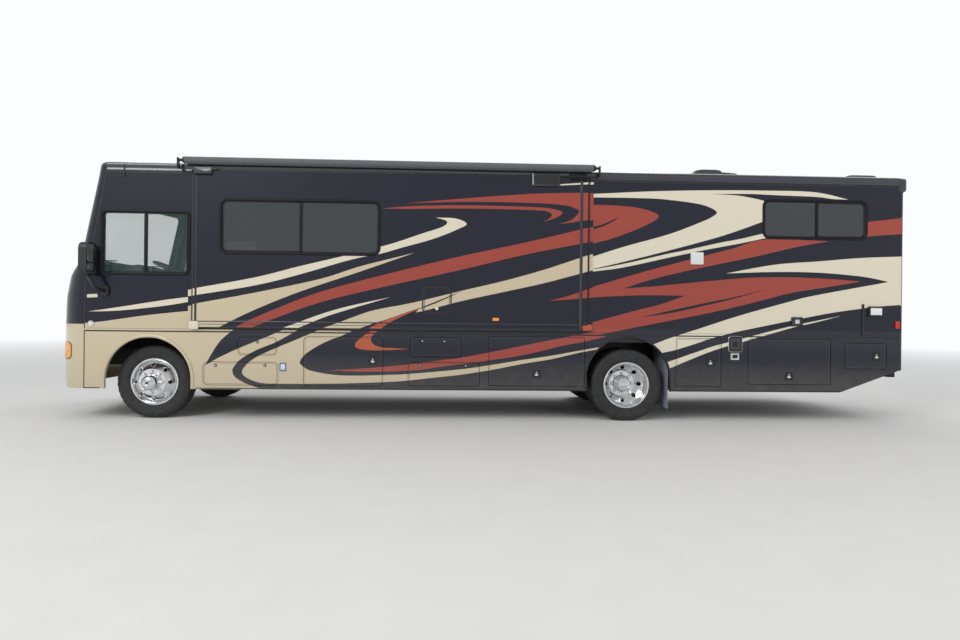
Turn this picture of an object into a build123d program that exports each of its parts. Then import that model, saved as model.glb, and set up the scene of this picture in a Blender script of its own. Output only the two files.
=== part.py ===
from build123d import *
import math
import os

os.makedirs("parts", exist_ok=True)

# Driving dimensions, millimetres. Stations are distances behind the body's front end.
# Between the axles and behind them the length is the sum of the storage bays.
FRONT_OVERHANG = 1383.0
FRONT_WHEEL_BAY = 647.0
BAY_LENGTHS = {1: 1140.0, 2: 1350.0, 3: 1140.0, 4: 1340.0}
DRIVE_BAY_FRONT = 560.0
DRIVE_BAY_REAR = 590.0
AFT_BAY_LENGTHS = {5: 850.0, 6: 1390.0, 7: 770.0}
TAIL_LENGTH = 120.0
HALF_WIDTH = 1289.0
MIRROR_REACH = 260.0
LADDER_REACH = 120.0

# Heights above the ground.
HUB_HEIGHT = 473.0
SKIRT_BOTTOM = 400.0
TAIL_HEIGHT = 695.0
TAIL_RUN = 863.0
BELT = 1135.0
FLOOR_TOP = 1120.0
FLOOR_THICKNESS = 80.0
WALL_TOP = 3235.0

# Panels.
WALL = 45.0
SKIRT_PANEL = 30.0
CAP_SHELL = 40.0
REAR_PANEL = 60.0
CORNER_ROUND = 55.0
DOOR_GAP = 6.0
CUT_PAST = 50.0

FRONT_AXLE = FRONT_OVERHANG
bay_front = {}
bay_rear = {}
station = FRONT_AXLE + FRONT_WHEEL_BAY
for bay, length in BAY_LENGTHS.items():
    bay_front[bay] = station
    station += length
    bay_rear[bay] = station
REAR_AXLE = station + DRIVE_BAY_FRONT
station = REAR_AXLE + DRIVE_BAY_REAR
for bay, length in AFT_BAY_LENGTHS.items():
    bay_front[bay] = station
    station += length
    bay_rear[bay] = station
BODY_LENGTH = station + TAIL_LENGTH
TOTAL_LENGTH = BODY_LENGTH + LADDER_REACH
FLOOR_LOW = FLOOR_TOP - FLOOR_THICKNESS
INNER_HALF = HALF_WIDTH - WALL
WALL_REAR = BODY_LENGTH - REAR_PANEL

# Front cap. The seam is where it meets the side walls; it leans back above the cowl.
CAP_SEAM = 590.0
SEAM_BEND_HEIGHT = 1720.0
SEAM_LEAN = 0.1764
CAP_LAP = 60.0
CAP_SECTIONS = [
    # height, front station at the middle, station where the flat side starts, corner radius
    (400.0, 95.0, 605.0, 420.0),
    (520.0, 15.0, 605.0, 450.0),
    (700.0, 0.0, 605.0, 450.0),
    (1137.0, 0.0, 605.0, 450.0),
    (1560.0, 40.0, 605.0, 430.0),
    (1850.0, 85.0, 620.0, 360.0),
    (2040.0, 235.0, 650.0, 200.0),
    (3100.0, 480.0, 838.0, 150.0),
    (WALL_TOP, 545.0, 860.0, 150.0),
]

# Windscreen, hood, grille and head lamps in the front cap.
SCREEN_SIDE = 149.0
SCREEN_LOW = 2060.0
SCREEN_HIGH = 3010.0
SCREEN_ROUND = 110.0
SCREEN_GLASS = 12.0
SCREEN_INSET = 8.0
HOOD_HALF = 560.0
HOOD_LOW = 1180.0
HOOD_HIGH = 1600.0
HOOD_ROUND = 40.0
HOOD_SHELL = 30.0
GRILLE_HALF = 470.0
GRILLE_LOW = 640.0
GRILLE_HIGH = 1060.0
GRILLE_ROUND = 40.0
GRILLE_BARS = 6
GRILLE_BAR = 26.0
GRILLE_BAR_ROUND = 8.0
GRILLE_BORDER = 30.0
GRILLE_LAP = 20.0
GRILLE_INSET = 6.0
GRILLE_DEPTH = 30.0
LAMP_SIDE = 99.0
LAMP_WIDTH = 550.0
LAMP_LOW = 770.0
LAMP_HIGH = 980.0
LAMP_ROUND = 40.0
LAMP_INSET = 2.0
LAMP_DEPTH = 60.0
TAIL_LAMP_SIDE = 49.0
TAIL_LAMP_WIDTH = 160.0
TAIL_LAMP_LOW = 1000.0
TAIL_LAMP_HIGH = 1500.0
TAIL_LAMP_PROUD = 28.0

# Wheel arches in the skirts, each with a raised lip.
FRONT_ARCH_RADIUS = 540.0
FRONT_ARCH_TOP = 1057.0
FRONT_ARCH_LIP = 34.0
REAR_ARCH_RADIUS = 556.0
REAR_ARCH_TOP = 1108.0
REAR_ARCH_LIP = 16.0
ARCH_LIP_PROUD = 9.0

# Rails along the body: one at the belt, one under the roof.
BELT_RAIL_LOW = 1141.0
BELT_RAIL_HIGH = 1163.0
RAIL_PROUD = 6.0
ROOF_RAIL_LOW = 3209.0
ROOF_RAIL_HIGH = 3268.0

# Wheels and tyres. Offsets run along the axle from the wheel's middle, outward positive.
TYRE_RADIUS = HUB_HEIGHT
TYRE_HALF = 118.0
SHOULDER_DROP = 33.0
SHOULDER_IN = 8.0
TREAD_HALF = 88.0
SIDEWALL_BULGE = 385.0
RIM_RADIUS = 290.0
LIP_RADIUS = 303.0
LIP_OFFSET = 86.0
LIP_WIDTH = 8.0
RIM_SHEET = 13.0
BEAD_SEAT = 6.0
DISC_OFFSET = 152.0
DISC_SHEET = 12.0
DISC_FLAT_RADIUS = 172.0
DISC_RUN = 38.0
HUB_RADIUS = 80.0
HUB_WALL = 25.0
HUB_NOSE_FRONT = 272.0
HUB_NOSE_REAR = -4.0
HUB_BACK = 20.0
HUB_CLEAR = 8.0
HAND_HOLES = 8
HAND_HOLE_RADIUS = 27.0
HAND_HOLE_CIRCLE = 222.0
HAND_HOLE_DEPTH = 170.0
LUGS = 8
LUG_RADIUS = 16.0
LUG_HEIGHT = 30.0
LUG_CIRCLE = 137.5
FRONT_LIP_INSET = 170.0
REAR_LIP_INSET = 80.0
FRONT_WHEEL_Y = HALF_WIDTH - FRONT_LIP_INSET - LIP_OFFSET
REAR_WHEEL_Y = HALF_WIDTH - REAR_LIP_INSET - LIP_OFFSET
TWIN_SPACING = 2 * DISC_OFFSET

# Axles and steering.
KINGPIN_INSET = 130.0
KINGPIN_RADIUS = 24.0
PIN_FIT = 0.06
SPINDLE_RADIUS = 35.0
SPINDLE_END = 215.0
REAR_SPINDLE_RADIUS = 50.0
BEAM_HEIGHT = 90.0
BEAM_WIDTH = 80.0
BEAM_DROP = 60.0
BOSS_RADIUS = 48.0
BOSS_HEIGHT = 120.0
YOKE_GAP = 1.0
YOKE_HEIGHT = 45.0
YOKE_WIDTH = 80.0
LINK_WIDTH = 70.0
LINK_IN = 100.0
LINK_OUT = 62.0
LINK_OVERLAP = 50.0
LINK_TRIM = 10.0
PIN_CLEAR = 8.0
PLATE_GAP = 5.0
PLATE_THICKNESS = 22.0
PLATE_HALF_WIDTH = 55.0
PLATE_HALF_HEIGHT = 105.0
HOUSING_RADIUS = 72.0
HOUSING_END = 60.0
DIFFERENTIAL_RADIUS = 190.0
DIFFERENTIAL_WIDTH = 230.0

# Chassis.
RAIL_Y = 430.0
RAIL_WIDTH = 75.0
RAIL_BOTTOM = 640.0
RAIL_TOP = 870.0
RAIL_SHEET = 9.0
RAIL_FRONT = 250.0
RAIL_TAIL = 130.0
SPRING_WIDTH = 70.0
SPRING_LENGTH = 1400.0
SPRING_LEAVES = 3
LEAF = 18.0
LEAF_STEP = 0.22
SPRING_DROP = 100.0
SPRING_SEAT_HALF = 60.0
SHACKLE = 50.0
SHACKLE_DROP = 60.0

# Slide-out room: its hole runs from just ahead of the first bay to just past the fourth.
SLIDE_LEAD = 90.0
SLIDE_TRAIL = 10.0
SLIDE_LOW = 1168.0
SLIDE_HIGH = 3205.0
SLIDE_GAP = 8.0
SLIDE_DEPTH = 860.0
SLIDE_PROUD = 12.0
SLIDE_SHELL = 40.0
SLIDE_FRONT = bay_front[1] - SLIDE_LEAD
SLIDE_REAR = bay_rear[4] + SLIDE_TRAIL
RANGE_VENT_REAR = 364.0
RANGE_VENT_LENGTH = 370.0
RANGE_VENT_DROP = 16.0
RANGE_VENT_HEIGHT = 150.0
RANGE_VENT_PROUD = 22.0

# Entry door, kerb side, with the steps inside it.
ENTRY_LEAD = 120.0
ENTRY_WIDTH = 700.0
ENTRY_LOW = 700.0
ENTRY_HIGH = 2760.0
ENTRY_ROUND = 40.0
ENTRY_PANE_MARGIN = 110.0
ENTRY_PANE_LOW = 1750.0
ENTRY_PANE_HIGH = 2560.0
ENTRY_FRONT = bay_front[1] + ENTRY_LEAD
ENTRY_REAR = ENTRY_FRONT + ENTRY_WIDTH
STEPWELL_DEPTH = 480.0
STEP_SHEET = 20.0

# Windows.
GLASS = 8.0
GLASS_INSET = 10.0
WINDOW_ROUND = 60.0
FRAME_BAR = 34.0
FRAME_PROUD = 7.0
MULLION = 32.0
CAB_WINDOW = (CAP_SEAM + 200.0, CAP_SEAM + 1295.0, 1862.0, 2662.0)
REAR_WINDOW = (bay_front[6] + 355.0, bay_front[6] + 1760.0, 2445.0, 2950.0)
LEFT_WINDOWS = [
    # front station, rear station, low, high
    CAB_WINDOW,
    REAR_WINDOW,
]
RIGHT_WINDOWS = [
    # front station, rear station, low, high
    CAB_WINDOW,
    (bay_front[2] + 130.0, bay_front[2] + 1130.0, 2080.0, 2800.0),
    (bay_front[3] + 680.0, bay_front[3] + 1680.0, 2080.0, 2800.0),
    REAR_WINDOW,
]
SLIDE_WINDOW = (SLIDE_FRONT + 345.0, SLIDE_FRONT + 2360.0, 2140.0, 2825.0)
ENTRY_WINDOW = (ENTRY_FRONT + ENTRY_PANE_MARGIN, ENTRY_REAR - ENTRY_PANE_MARGIN,
                ENTRY_PANE_LOW, ENTRY_PANE_HIGH)

# Locker doors, each set in its bay.
LEFT_DOORS = [
    # name, bay, margin to the bay's front and rear, low, high, corner radius, hinged edge
    ("utility_hatch_left", 1, 477.0, 172.0, 837.0, 1070.0, 55.0, "low"),
    ("locker_door_left_1", 1, 39.0, 150.0, 449.0, 751.0, 68.0, "low"),
    ("locker_door_left_2", 2, 169.0, 163.0, 442.0, 1086.0, 60.0, "front"),
    ("service_hatch_left", 3, 182.0, 296.0, 830.0, 1088.0, 50.0, "low"),
    ("locker_door_left_3", 3, 159.0, 50.0, 452.0, 764.0, 50.0, "low"),
    ("locker_door_left_4", 4, 64.0, 17.0, 460.0, 1108.0, 28.0, "high"),
    ("locker_door_left_5", 5, 45.0, 195.0, 470.0, 1107.0, 28.0, "front"),
    ("locker_door_left_6", 6, 166.0, 102.0, 498.0, 1106.0, 28.0, "high"),
    ("locker_door_left_7", 7, 94.0, 108.0, 711.0, 1060.0, 50.0, "front"),
]
RIGHT_DOORS = [
    # name, bay, margin to the bay's front and rear, low, high, corner radius, hinged edge
    ("locker_door_right_1", 2, 169.0, 163.0, 442.0, 1086.0, 60.0, "front"),
    ("locker_door_right_2", 4, 64.0, 17.0, 460.0, 1108.0, 28.0, "high"),
    ("locker_door_right_3", 6, 166.0, 102.0, 498.0, 1106.0, 28.0, "high"),
]

# Storage bays under the floor.
BAY_FLOOR = 425.0
BAY_TAIL_FLOOR = 730.0
BAY_PLATE = 20.0
BAY_BACK_Y = 560.0


def at(station):
    return station - TOTAL_LENGTH / 2


def block(s0, s1, y0, y1, z0, z1):
    size = (s1 - s0, y1 - y0, z1 - z0)
    middle = (at((s0 + s1) / 2), (y0 + y1) / 2, (z0 + z1) / 2)
    return Pos(*middle) * Box(*size)


def on_side(side, s0, s1, depth0, depth1, z0, z1):
    """A block whose depths are measured inward from the body's side; side is -1 left, +1 right."""
    y_a = side * (HALF_WIDTH - depth0)
    y_b = side * (HALF_WIDTH - depth1)
    return block(s0, s1, min(y_a, y_b), max(y_a, y_b), z0, z1)


def side_prism(points, y0, y1):
    """Extrude an outline of (station, height) points across the vehicle from y0 to y1."""
    outline = Polyline(*[(at(s), y0, z) for s, z in points], close=True)
    return extrude(make_face(outline), amount=y1 - y0, dir=(0, 1, 0))


def round_rect_prism(s0, s1, z0, z1, radius, y0, y1):
    """A rounded rectangle seen from the side, extruded from y0 to y1."""
    plane = Plane(origin=(at((s0 + s1) / 2), y0, (z0 + z1) / 2), x_dir=(1, 0, 0), z_dir=(0, 1, 0))
    return extrude(plane * RectangleRounded(s1 - s0, z1 - z0, radius), amount=y1 - y0, dir=(0, 1, 0))


def front_prism(y0, y1, z0, z1, radius, s0, s1):
    """A rounded rectangle seen from the front, extruded from station s0 to s1."""
    plane = Plane(origin=(at(s0), (y0 + y1) / 2, (z0 + z1) / 2), x_dir=(0, 1, 0), z_dir=(1, 0, 0))
    return extrude(plane * RectangleRounded(y1 - y0, z1 - z0, radius), amount=s1 - s0, dir=(1, 0, 0))


def across(radius, station, y_middle, length, height):
    """A cylinder along the vehicle's width."""
    return Pos(at(station), y_middle, height) * Rot(90, 0, 0) * Cylinder(radius, length)


def along(radius, s0, s1, y, height):
    """A cylinder along the vehicle's length."""
    return Pos(at((s0 + s1) / 2), y, height) * Rot(0, 90, 0) * Cylinder(radius, s1 - s0)


def mirrored(shape):
    return mirror(shape, about=Plane.XZ)


def save(name, *solids):
    shape = solids[0] if len(solids) == 1 else Compound(children=list(solids))
    export_step(shape, "parts/" + name + ".step")


def seam_at(height):
    return CAP_SEAM + max(0.0, height - SEAM_BEND_HEIGHT) * SEAM_LEAN


CAP_BACK = seam_at(WALL_TOP) + CAP_LAP


def cap_wire(height, front, side_start, radius, inset):
    """Plan outline of the nose at one height: sides, round corners and a bowed front."""
    half = HALF_WIDTH - inset
    nose = front + inset
    corner = radius - inset
    reach = side_start - nose
    width = half - corner
    bow = (reach ** 2 + width ** 2 - corner ** 2) / (2 * (reach - corner))
    length = math.hypot(reach - bow, width)
    touch = ((reach - bow) / length, -width / length)
    middle = (touch[0], touch[1] - 1.0)
    scale = math.hypot(*middle)
    points = {}
    for side in (-1, 1):
        points[side] = (
            (at(CAP_BACK), side * half, height),
            (at(side_start), side * half, height),
            (at(side_start) + corner * middle[0] / scale,
             -side * (-width + corner * middle[1] / scale), height),
            (at(side_start) + corner * touch[0], -side * (-width + corner * touch[1]), height),
        )
    tip = (at(nose), 0, height)
    left = points[-1]
    right = points[1]
    edges = [
        Line(left[0], left[1]),
        ThreePointArc(left[1], left[2], left[3]),
        ThreePointArc(left[3], tip, right[3]),
        ThreePointArc(right[3], right[2], right[1]),
        Line(right[1], right[0]),
        Line(right[0], left[0]),
    ]
    return make_face(Wire(edges))


def cap_form(inset):
    """The nose as a solid, all its walls moved inward by inset."""
    faces = [cap_wire(*row, inset) for row in CAP_SECTIONS]
    return loft(faces, ruled=True)


def cap_profile():
    """What belongs to the nose, seen from the side: everything ahead of the seam."""
    ahead = -2 * CUT_PAST
    points = [
        (ahead, SKIRT_BOTTOM - CUT_PAST),
        (CAP_SEAM, SKIRT_BOTTOM - CUT_PAST),
        (CAP_SEAM, SEAM_BEND_HEIGHT),
        (seam_at(WALL_TOP), WALL_TOP),
        (seam_at(WALL_TOP), WALL_TOP + CUT_PAST),
        (ahead, WALL_TOP + CUT_PAST),
    ]
    return side_prism(points, -HALF_WIDTH - CUT_PAST, HALF_WIDTH + CUT_PAST)


nose_outer = cap_form(0.0)
nose_inner = cap_form(CAP_SHELL)
nose_zone = cap_profile()
nose_shell = (nose_outer - nose_inner) & nose_zone

# Front cap with its windscreen, hood, grille and lamp openings.
CUT_FRONT = -CUT_PAST
SCREEN_HALF = HALF_WIDTH - SCREEN_SIDE
screen_cut = front_prism(-SCREEN_HALF, SCREEN_HALF, SCREEN_LOW, SCREEN_HIGH, SCREEN_ROUND,
                         CUT_FRONT, CAP_BACK)
hood_cut = front_prism(-HOOD_HALF, HOOD_HALF, HOOD_LOW, HOOD_HIGH, HOOD_ROUND, CUT_FRONT, CAP_SEAM)
grille_cut = front_prism(-GRILLE_HALF, GRILLE_HALF, GRILLE_LOW, GRILLE_HIGH, GRILLE_ROUND,
                         CUT_FRONT, CAP_SEAM)
lamp_out = HALF_WIDTH - LAMP_SIDE
lamp_cut_right = front_prism(lamp_out - LAMP_WIDTH, lamp_out, LAMP_LOW, LAMP_HIGH, LAMP_ROUND,
                             CUT_FRONT, CAP_SEAM)
lamp_cut_left = mirrored(lamp_cut_right)
front_cap = nose_shell - screen_cut - hood_cut - grille_cut - lamp_cut_right - lamp_cut_left
save("front_cap", front_cap)

screen_skin = cap_form(SCREEN_INSET) - cap_form(SCREEN_INSET + SCREEN_GLASS)
save("windscreen", screen_skin & screen_cut & nose_zone)

hood_edge = HOOD_HALF - DOOR_GAP
hood_panel = front_prism(-hood_edge, hood_edge, HOOD_LOW + DOOR_GAP, HOOD_HIGH - DOOR_GAP,
                         HOOD_ROUND - DOOR_GAP, CUT_FRONT, CAP_SEAM)
save("hood", (nose_outer - cap_form(HOOD_SHELL)) & hood_panel)

# Grille: a border and level bars that follow the nose.
grille_skin = cap_form(GRILLE_INSET) - cap_form(GRILLE_INSET + GRILLE_DEPTH)
border_half = GRILLE_HALF - GRILLE_BORDER
grille_hole = front_prism(-border_half, border_half, GRILLE_LOW + GRILLE_BORDER,
                          GRILLE_HIGH - GRILLE_BORDER, GRILLE_ROUND / 2, CUT_FRONT, CAP_SEAM)
grille_form = grille_cut - grille_hole
bar_pitch = (GRILLE_HIGH - GRILLE_LOW) / (GRILLE_BARS + 1)
bar_half = border_half + GRILLE_LAP
for i in range(GRILLE_BARS):
    bar_height = GRILLE_LOW + bar_pitch * (i + 1)
    grille_form += front_prism(-bar_half, bar_half, bar_height - GRILLE_BAR / 2,
                               bar_height + GRILLE_BAR / 2, GRILLE_BAR_ROUND, CUT_FRONT, CAP_SEAM)
save("grille", grille_skin & grille_form)

# Lamps: two head lamps in the nose and two tail lamp clusters on the rear wall.
lamp_skin = (cap_form(LAMP_INSET) - cap_form(LAMP_DEPTH)) & nose_zone
head_right = lamp_skin & lamp_cut_right
tail_out = HALF_WIDTH - TAIL_LAMP_SIDE
tail_right = front_prism(tail_out - TAIL_LAMP_WIDTH, tail_out, TAIL_LAMP_LOW, TAIL_LAMP_HIGH,
                         LAMP_ROUND, BODY_LENGTH, BODY_LENGTH + TAIL_LAMP_PROUD)
save("lamps", head_right, mirrored(head_right), tail_right, mirrored(tail_right))


def window_unit(row, side, panel, proud=0.0, sliding=True):
    """A framed window: a ring through the wall with the glass fused inside it.

    A sliding window has an upright bar where its two panes meet.
    """
    s0, s1, z0, z1 = row
    y_out = HALF_WIDTH + proud + FRAME_PROUD
    y_in = HALF_WIDTH + proud - panel
    pane = (s0 + FRAME_BAR, s1 - FRAME_BAR, z0 + FRAME_BAR, z1 - FRAME_BAR, WINDOW_ROUND - FRAME_BAR / 2)
    ring = round_rect_prism(s0, s1, z0, z1, WINDOW_ROUND, y_in, y_out)
    ring -= round_rect_prism(*pane, y_in - CUT_PAST, y_out + CUT_PAST)
    glass_y = HALF_WIDTH + proud - GLASS_INSET
    unit = ring + round_rect_prism(*pane, glass_y - GLASS, glass_y)
    if sliding:
        middle = (s0 + s1) / 2
        unit += on_side(1, middle - MULLION / 2, middle + MULLION / 2, -proud, GLASS_INSET + GLASS - proud,
                        z0 + FRAME_BAR, z1 - FRAME_BAR)
    return mirrored(unit) if side < 0 else unit


def window_hole(row, side):
    s0, s1, z0, z1 = row
    hole = round_rect_prism(s0, s1, z0, z1, WINDOW_ROUND, HALF_WIDTH - 2 * CUT_PAST, HALF_WIDTH + CUT_PAST)
    return mirrored(hole) if side < 0 else hole


wall_outline = [
    (CAP_SEAM, BELT),
    (CAP_SEAM, SEAM_BEND_HEIGHT),
    (seam_at(WALL_TOP), WALL_TOP),
    (WALL_REAR, WALL_TOP),
    (WALL_REAR, BELT),
]
entry_cut = round_rect_prism(ENTRY_FRONT, ENTRY_REAR, ENTRY_LOW, ENTRY_HIGH, ENTRY_ROUND,
                             HALF_WIDTH - 2 * CUT_PAST, HALF_WIDTH + CUT_PAST)
slide_cut = on_side(-1, SLIDE_FRONT, SLIDE_REAR, -CUT_PAST, WALL + CUT_PAST, SLIDE_LOW, SLIDE_HIGH)


def belt_rail(side):
    return on_side(side, CAP_SEAM, WALL_REAR, -RAIL_PROUD, 0, BELT_RAIL_LOW, BELT_RAIL_HIGH)


left_wall = side_prism(wall_outline, -HALF_WIDTH, -INNER_HALF) + belt_rail(-1) - slide_cut
for row in LEFT_WINDOWS:
    left_wall -= window_hole(row, -1)
save("left_wall", left_wall)

right_wall = side_prism(wall_outline, INNER_HALF, HALF_WIDTH) + belt_rail(1) - entry_cut
for row in RIGHT_WINDOWS:
    right_wall -= window_hole(row, 1)
save("right_wall", right_wall)

windows = [window_unit(row, -1, WALL) for row in LEFT_WINDOWS]
windows += [window_unit(row, 1, WALL) for row in RIGHT_WINDOWS]
save("side_windows", *windows)

rear_wall = block(WALL_REAR, BODY_LENGTH, -HALF_WIDTH, HALF_WIDTH, TAIL_HEIGHT, WALL_TOP)
rear_corners = rear_wall.edges().filter_by(Axis.Z).group_by(Axis.X)[-1]
save("rear_wall", fillet(rear_corners, CORNER_ROUND))


def arch_form(axle, radius, top):
    """A wheel arch seen from the side, cut through both skirts: a half round on straight legs."""
    centre = top - radius
    reach = 2 * HALF_WIDTH
    return across(radius, axle, 0, 2 * reach, centre) + block(axle - radius, axle + radius, -reach, reach, 0, centre)


def arch_lip(side, axle, radius, top, lip):
    """The raised lip round a wheel arch, down to the skirt's lower edge."""
    outer = arch_form(axle, radius + lip, top + lip) - arch_form(axle, radius, top)
    return outer & on_side(side, axle - 2 * radius, axle + 2 * radius, -ARCH_LIP_PROUD, SKIRT_PANEL,
                           SKIRT_BOTTOM, BELT)


front_arch = arch_form(FRONT_AXLE, FRONT_ARCH_RADIUS, FRONT_ARCH_TOP)
rear_arch = arch_form(REAR_AXLE, REAR_ARCH_RADIUS, REAR_ARCH_TOP)

skirt_outline = [
    (CAP_SEAM, SKIRT_BOTTOM),
    (CAP_SEAM, BELT),
    (WALL_REAR, BELT),
    (WALL_REAR, TAIL_HEIGHT),
    (BODY_LENGTH - TAIL_RUN, SKIRT_BOTTOM),
]


def door_prism(row, side, gap, extra):
    name, bay, lead, trail, z0, z1, radius, edge = row
    y0 = HALF_WIDTH - SKIRT_PANEL - extra
    y1 = HALF_WIDTH + extra
    panel = round_rect_prism(bay_front[bay] + lead + gap, bay_rear[bay] - trail - gap, z0 + gap, z1 - gap,
                             radius - gap, y0, y1)
    return mirrored(panel) if side < 0 else panel


def make_skirt(side, doors):
    y0 = -HALF_WIDTH if side < 0 else HALF_WIDTH - SKIRT_PANEL
    skirt = side_prism(skirt_outline, y0, y0 + SKIRT_PANEL) - front_arch - rear_arch
    skirt += arch_lip(side, FRONT_AXLE, FRONT_ARCH_RADIUS, FRONT_ARCH_TOP, FRONT_ARCH_LIP)
    skirt += arch_lip(side, REAR_AXLE, REAR_ARCH_RADIUS, REAR_ARCH_TOP, REAR_ARCH_LIP)
    for row in doors:
        skirt -= door_prism(row, side, 0.0, CUT_PAST)
    return skirt


save("left_skirt", make_skirt(-1, LEFT_DOORS))
save("right_skirt", make_skirt(1, RIGHT_DOORS) - entry_cut)
for side, doors in ((-1, LEFT_DOORS), (1, RIGHT_DOORS)):
    for row in doors:
        save(row[0], door_prism(row, side, DOOR_GAP, 0.0))

# Roof: a slab with the nose's plan at the front and a crown that falls to its edges.
ROOF_SECTIONS = [
    # rise above the wall top, inset of the whole outline
    (0.0, 0.0),
    (35.0, 14.0),
    (60.0, 70.0),
    (110.0, 650.0),
]
ROOF_TOP = WALL_TOP + ROOF_SECTIONS[-1][0]


def roof_height(station, y):
    """Height of the roof's upper surface over a point of the plan."""
    inset = min(HALF_WIDTH - abs(y), BODY_LENGTH - station)
    for (rise0, inset0), (rise1, inset1) in zip(ROOF_SECTIONS, ROOF_SECTIONS[1:]):
        if inset <= inset1:
            share = (inset - inset0) / (inset1 - inset0)
            return WALL_TOP + rise0 + share * (rise1 - rise0)
    return ROOF_TOP


def roof_face(rise, inset):
    height, nose, side_start, corner = CAP_SECTIONS[-1]
    front = at(nose + inset)
    half = HALF_WIDTH - inset
    rear = at(BODY_LENGTH - inset)
    z = WALL_TOP + rise
    outline = Polyline(
        (front, -half + corner, z),
        (front, half - corner, z),
        (front + corner, half, z),
        (rear - CORNER_ROUND, half, z),
        (rear, half - CORNER_ROUND, z),
        (rear, -half + CORNER_ROUND, z),
        (rear - CORNER_ROUND, -half, z),
        (front + corner, -half, z),
        close=True,
    )
    return make_face(outline)


roof = loft([roof_face(*row) for row in ROOF_SECTIONS], ruled=True)
rail_front = seam_at(WALL_TOP)
rail_rear = BODY_LENGTH - CORNER_ROUND
roof_rails = [
    on_side(side, rail_front, rail_rear, -RAIL_PROUD, RAIL_PROUD, WALL_TOP, ROOF_RAIL_HIGH)
    + on_side(side, rail_front, rail_rear, -RAIL_PROUD, 0, ROOF_RAIL_LOW, WALL_TOP)
    for side in (-1, 1)
]
roof = roof + roof_rails[0] + roof_rails[1]
save("roof", roof)

# Floor with the stepwell cut out, and the entry steps in it.
FLOOR_LEAD = 70.0
stepwell = block(ENTRY_FRONT, ENTRY_REAR, INNER_HALF - STEPWELL_DEPTH, HALF_WIDTH, 0, FLOOR_TOP + CUT_PAST)
save("floor", block(CAP_SEAM + FLOOR_LEAD, WALL_REAR, -INNER_HALF, INNER_HALF, FLOOR_LOW, FLOOR_TOP) - stepwell)

step_in = INNER_HALF - STEPWELL_DEPTH
step_mid = INNER_HALF - STEPWELL_DEPTH / 2
step_low = ENTRY_LOW - DOOR_GAP
step_high = (FLOOR_TOP + ENTRY_LOW) / 2
step_outline = [
    (INNER_HALF, step_low - STEP_SHEET),
    (INNER_HALF, step_low),
    (step_mid + STEP_SHEET, step_low),
    (step_mid + STEP_SHEET, step_high),
    (step_in + STEP_SHEET, step_high),
    (step_in + STEP_SHEET, FLOOR_TOP),
    (step_in, FLOOR_TOP),
    (step_in, step_high - STEP_SHEET),
    (step_mid, step_high - STEP_SHEET),
    (step_mid, step_low - STEP_SHEET),
]
step_face = make_face(Polyline(*[(at(ENTRY_FRONT), y, z) for y, z in step_outline], close=True))
save("entry_steps", extrude(step_face, amount=ENTRY_WIDTH, dir=(1, 0, 0)))

# Storage bays: floors, cross dividers and backs, all flat plates.
STRETCHES = [
    # side, first bay, last bay, floor height, whether it starts with a divider of its own
    (-1, 1, 4, BAY_FLOOR, True),
    (-1, 5, 6, BAY_FLOOR, True),
    (-1, 7, 7, BAY_TAIL_FLOOR, False),
    (1, 2, 4, BAY_FLOOR, True),
    (1, 5, 6, BAY_FLOOR, True),
    (1, 7, 7, BAY_TAIL_FLOOR, False),
]
bay_in = HALF_WIDTH - BAY_BACK_Y
bay_floors = []
bay_backs = []
bay_dividers = []
for side, first, last, z, own_divider in STRETCHES:
    s0 = bay_front[first] if own_divider else bay_front[first] + BAY_PLATE
    s1 = bay_rear[last] + BAY_PLATE
    bay_floors.append(on_side(side, s0, s1, SKIRT_PANEL, bay_in, z - BAY_PLATE, z))
    bay_backs.append(on_side(side, s0, s1, bay_in, bay_in + BAY_PLATE, z - BAY_PLATE, RAIL_TOP))
    fronts = [bay_front[bay] for bay in range(first, last + 1)]
    for s in fronts[0 if own_divider else 1:] + [bay_rear[last]]:
        bay_dividers.append(on_side(side, s, s + BAY_PLATE, SKIRT_PANEL, bay_in, z, RAIL_TOP))
save("bay_floors", *bay_floors)
save("bay_backs", *bay_backs)
save("bay_dividers", *bay_dividers)

# Chassis rails, channels open to the inside, and the cross members that carry the floor.
RAIL_REAR = BODY_LENGTH - RAIL_TAIL
rail_outer = block(RAIL_FRONT, RAIL_REAR, RAIL_Y, RAIL_Y + RAIL_WIDTH, RAIL_BOTTOM, RAIL_TOP)
rail_hollow = block(RAIL_FRONT - CUT_PAST, RAIL_REAR + CUT_PAST, RAIL_Y - CUT_PAST,
                    RAIL_Y + RAIL_WIDTH - RAIL_SHEET, RAIL_BOTTOM + RAIL_SHEET, RAIL_TOP - RAIL_SHEET)
rail = rail_outer - rail_hollow
save("frame_rails", rail, mirrored(rail))

CROSS_LENGTH = 60.0
CROSS_NARROW = RAIL_Y + RAIL_WIDTH + 15.0
CROSS_WIDE = INNER_HALF - 64.0
CROSS_MEMBERS = [
    # station, half width
    (RAIL_FRONT + 40.0, CROSS_NARROW),
    (bay_front[1] - 80.0, CROSS_WIDE),
    (bay_front[2] - 110.0, CROSS_WIDE),
    (bay_front[3] - 270.0, CROSS_WIDE),
    (bay_front[4] - 100.0, CROSS_WIDE),
    (bay_rear[4] - 130.0, CROSS_NARROW),
    (bay_front[5] + 110.0, CROSS_WIDE),
    (bay_front[6] + 100.0, CROSS_WIDE),
    (bay_front[7] - 140.0, CROSS_WIDE),
    (BODY_LENGTH - 220.0, CROSS_WIDE),
]
save("cross_members", *[
    block(s, s + CROSS_LENGTH, -half, half, RAIL_TOP, FLOOR_LOW) for s, half in CROSS_MEMBERS
])

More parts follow.
